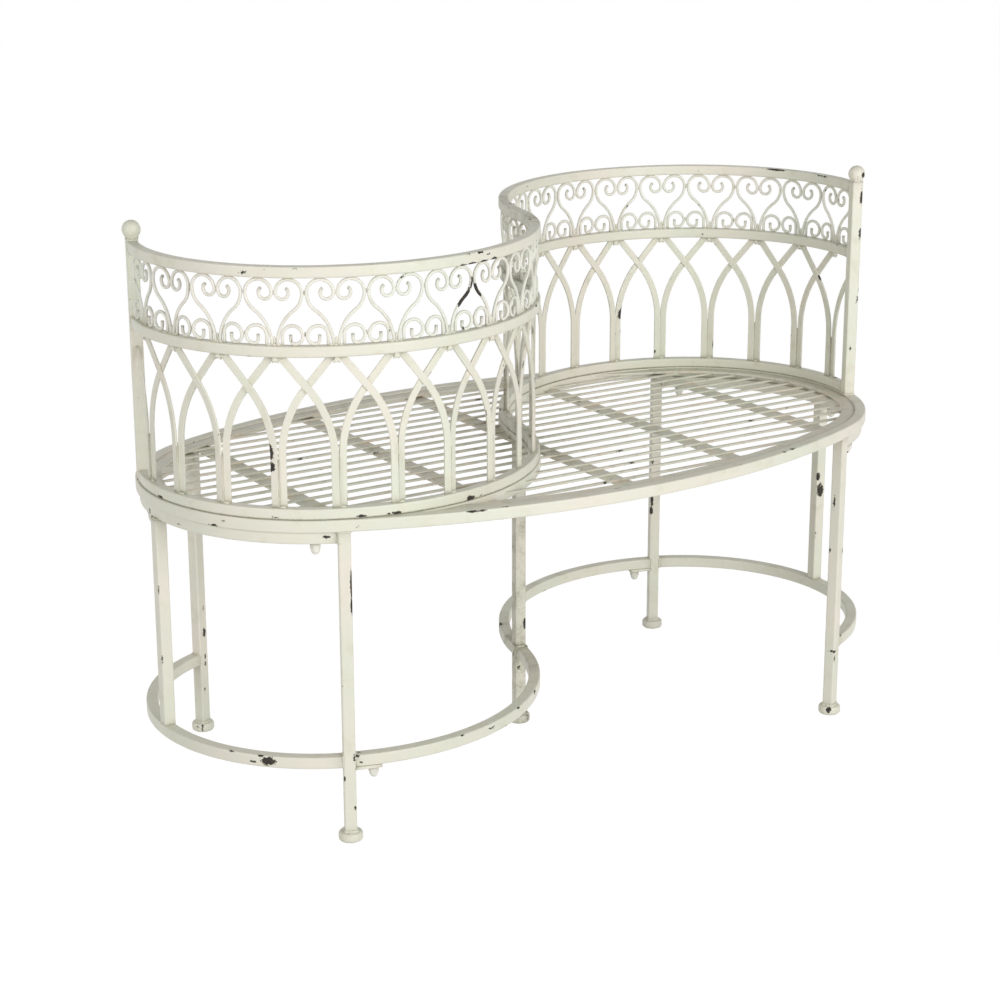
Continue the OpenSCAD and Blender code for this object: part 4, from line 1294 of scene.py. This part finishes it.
class BENCH_OT_studio(BenchOperator, Operator):
    """Set the pale floor, the lamps and the camera"""

    bl_idname = "bench.studio"
    bl_label = "Studio"

    def execute(self, context):
        studio = context.scene.bench_studio
        context.scene.view_settings.view_transform = "Standard"
        self.world(context.scene, studio.room)
        self.lamp("key_lamp", (0.75, -4.6, 1.5), studio.key, 2.8)
        self.lamp("fill_lamp", (-4.8, -1.5, 2.2), studio.fill, 3.4)
        self.camera(context.scene)
        return self.done(self.floor())

    def camera(self, scene):
        """A camera at the photograph's viewing angle."""
        place, target = np.array((-1.8092, -2.7920, 1.3625)), (-0.1927, -0.2498, 0.4549)
        roll = math.radians(-0.14)
        camera = bpy.data.objects.new("camera", bpy.data.cameras.new("camera"))
        scene.collection.objects.link(camera)
        camera.data.sensor_width = 36.0
        camera.data.lens = 82.33
        camera.data.clip_end = 60.0
        aim = np.array(target) - place
        aim /= np.linalg.norm(aim)
        right = np.cross(aim, UP)
        right /= np.linalg.norm(right)
        up = np.cross(right, aim)
        right, up = (right * math.cos(roll) + up * math.sin(roll),
                     up * math.cos(roll) - right * math.sin(roll))
        turn = [[right[i], up[i], -aim[i], place[i]] for i in range(3)] + [[0, 0, 0, 1]]
        camera.matrix_world = Matrix(turn)
        scene.camera = camera

    def floor(self):
        """A matt floor that shows nearly white and keeps the bench's shadow."""
        reach, grey, glow, glow_share = 14, (0.86, 0.86, 0.86), 1.11, 0.86
        mesh = bpy.data.meshes.new("floor")
        mesh.from_pydata([(-reach, -reach, 0), (reach, -reach, 0), (reach, reach, 0),
                          (-reach, reach, 0)], [], [(0, 1, 2, 3)])
        floor = bpy.data.objects.new("floor", mesh)
        bpy.context.scene.collection.objects.link(floor)
        material, n, main = shader("pale_floor")
        n.tree.nodes.remove(main)
        n.give(n.tree.nodes["Material Output"].inputs["Surface"], n.add("MixShader", "Shader", {
            0: n.maths("MULTIPLY", n.seen(), glow_share),
            1: n.add("BsdfDiffuse", "BSDF", {"Color": grey}),
            2: n.add("Emission", "Emission", {"Color": WHITE, "Strength": glow})}))
        mesh.materials.append(material)
        return floor

    def world(self, scene, strength):
        """Soft light from all round, with plain white behind."""
        scene.world = bpy.data.worlds.new("room")
        scene.world.use_nodes = True
        n = Nodes(scene.world.node_tree)
        room = n.tree.nodes["Background"]
        n.give(room.inputs["Color"], WHITE)
        n.give(room.inputs["Strength"], strength)
        n.give(n.tree.nodes["World Output"].inputs["Surface"], n.add("MixShader", "Shader", {
            0: n.seen(), 1: room.outputs["Background"],
            2: n.add("Background", "Background", {"Color": WHITE, "Strength": 1.0})}))

    def lamp(self, name, place, power, size):
        """A round soft lamp, aimed at the middle of the seat."""
        data = bpy.data.lights.new(name, "AREA")
        data.energy = power
        data.shape = "DISK"
        data.size = size
        lamp = bpy.data.objects.new(name, data)
        bpy.context.scene.collection.objects.link(lamp)
        lamp.location = place
        aim = Vector((0, 0, 0.42)) - Vector(place)
        lamp.rotation_mode = "QUATERNION"
        lamp.rotation_quaternion = aim.to_track_quat("-Z", "Y")


PIECES = (
    BENCH_OT_seat_rim, BENCH_OT_seat_ring, BENCH_OT_seat_slats, BENCH_OT_seat_straps,
    BENCH_OT_centre_rail, BENCH_OT_back_rails, BENCH_OT_end_posts, BENCH_OT_arches,
    BENCH_OT_hearts, BENCH_OT_small_scrolls, BENCH_OT_legs, BENCH_OT_feet,
    BENCH_OT_stretchers, BENCH_OT_fixings, BENCH_OT_welds, BENCH_OT_studio,
)


class BENCH_PT_panel(Panel):
    """Lists the bench's sizes, paint and pieces"""

    bl_idname = "BENCH_PT_panel"
    bl_label = "Kissing Bench"
    bl_space_type = "VIEW_3D"
    bl_region_type = "UI"
    bl_category = "Bench"

    def draw(self, context):
        layout = self.layout
        for group in (context.scene.bench_sizes, context.scene.bench_paint,
                      context.scene.bench_studio):
            box = layout.box()
            for name in group.__annotations__:
                box.prop(group, name)
        for piece in PIECES:
            layout.operator(piece.bl_idname)


CLASSES = (BenchSizes, BenchPaint, BenchStudio, *PIECES, BENCH_PT_panel)


def register():
    for item in CLASSES:
        bpy.utils.register_class(item)
    bpy.types.Scene.bench_sizes = PointerProperty(type=BenchSizes)
    bpy.types.Scene.bench_paint = PointerProperty(type=BenchPaint)
    bpy.types.Scene.bench_studio = PointerProperty(type=BenchStudio)


def unregister():
    del bpy.types.Scene.bench_studio
    del bpy.types.Scene.bench_paint
    del bpy.types.Scene.bench_sizes
    for item in reversed(CLASSES):
        bpy.utils.unregister_class(item)


def main():
    """Builds the bench piece by piece."""
    register()
    for piece in PIECES:
        group, name = piece.bl_idname.split(".")
        getattr(getattr(bpy.ops, group), name)()
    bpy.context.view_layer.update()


if __name__ == "__main__":
    main()
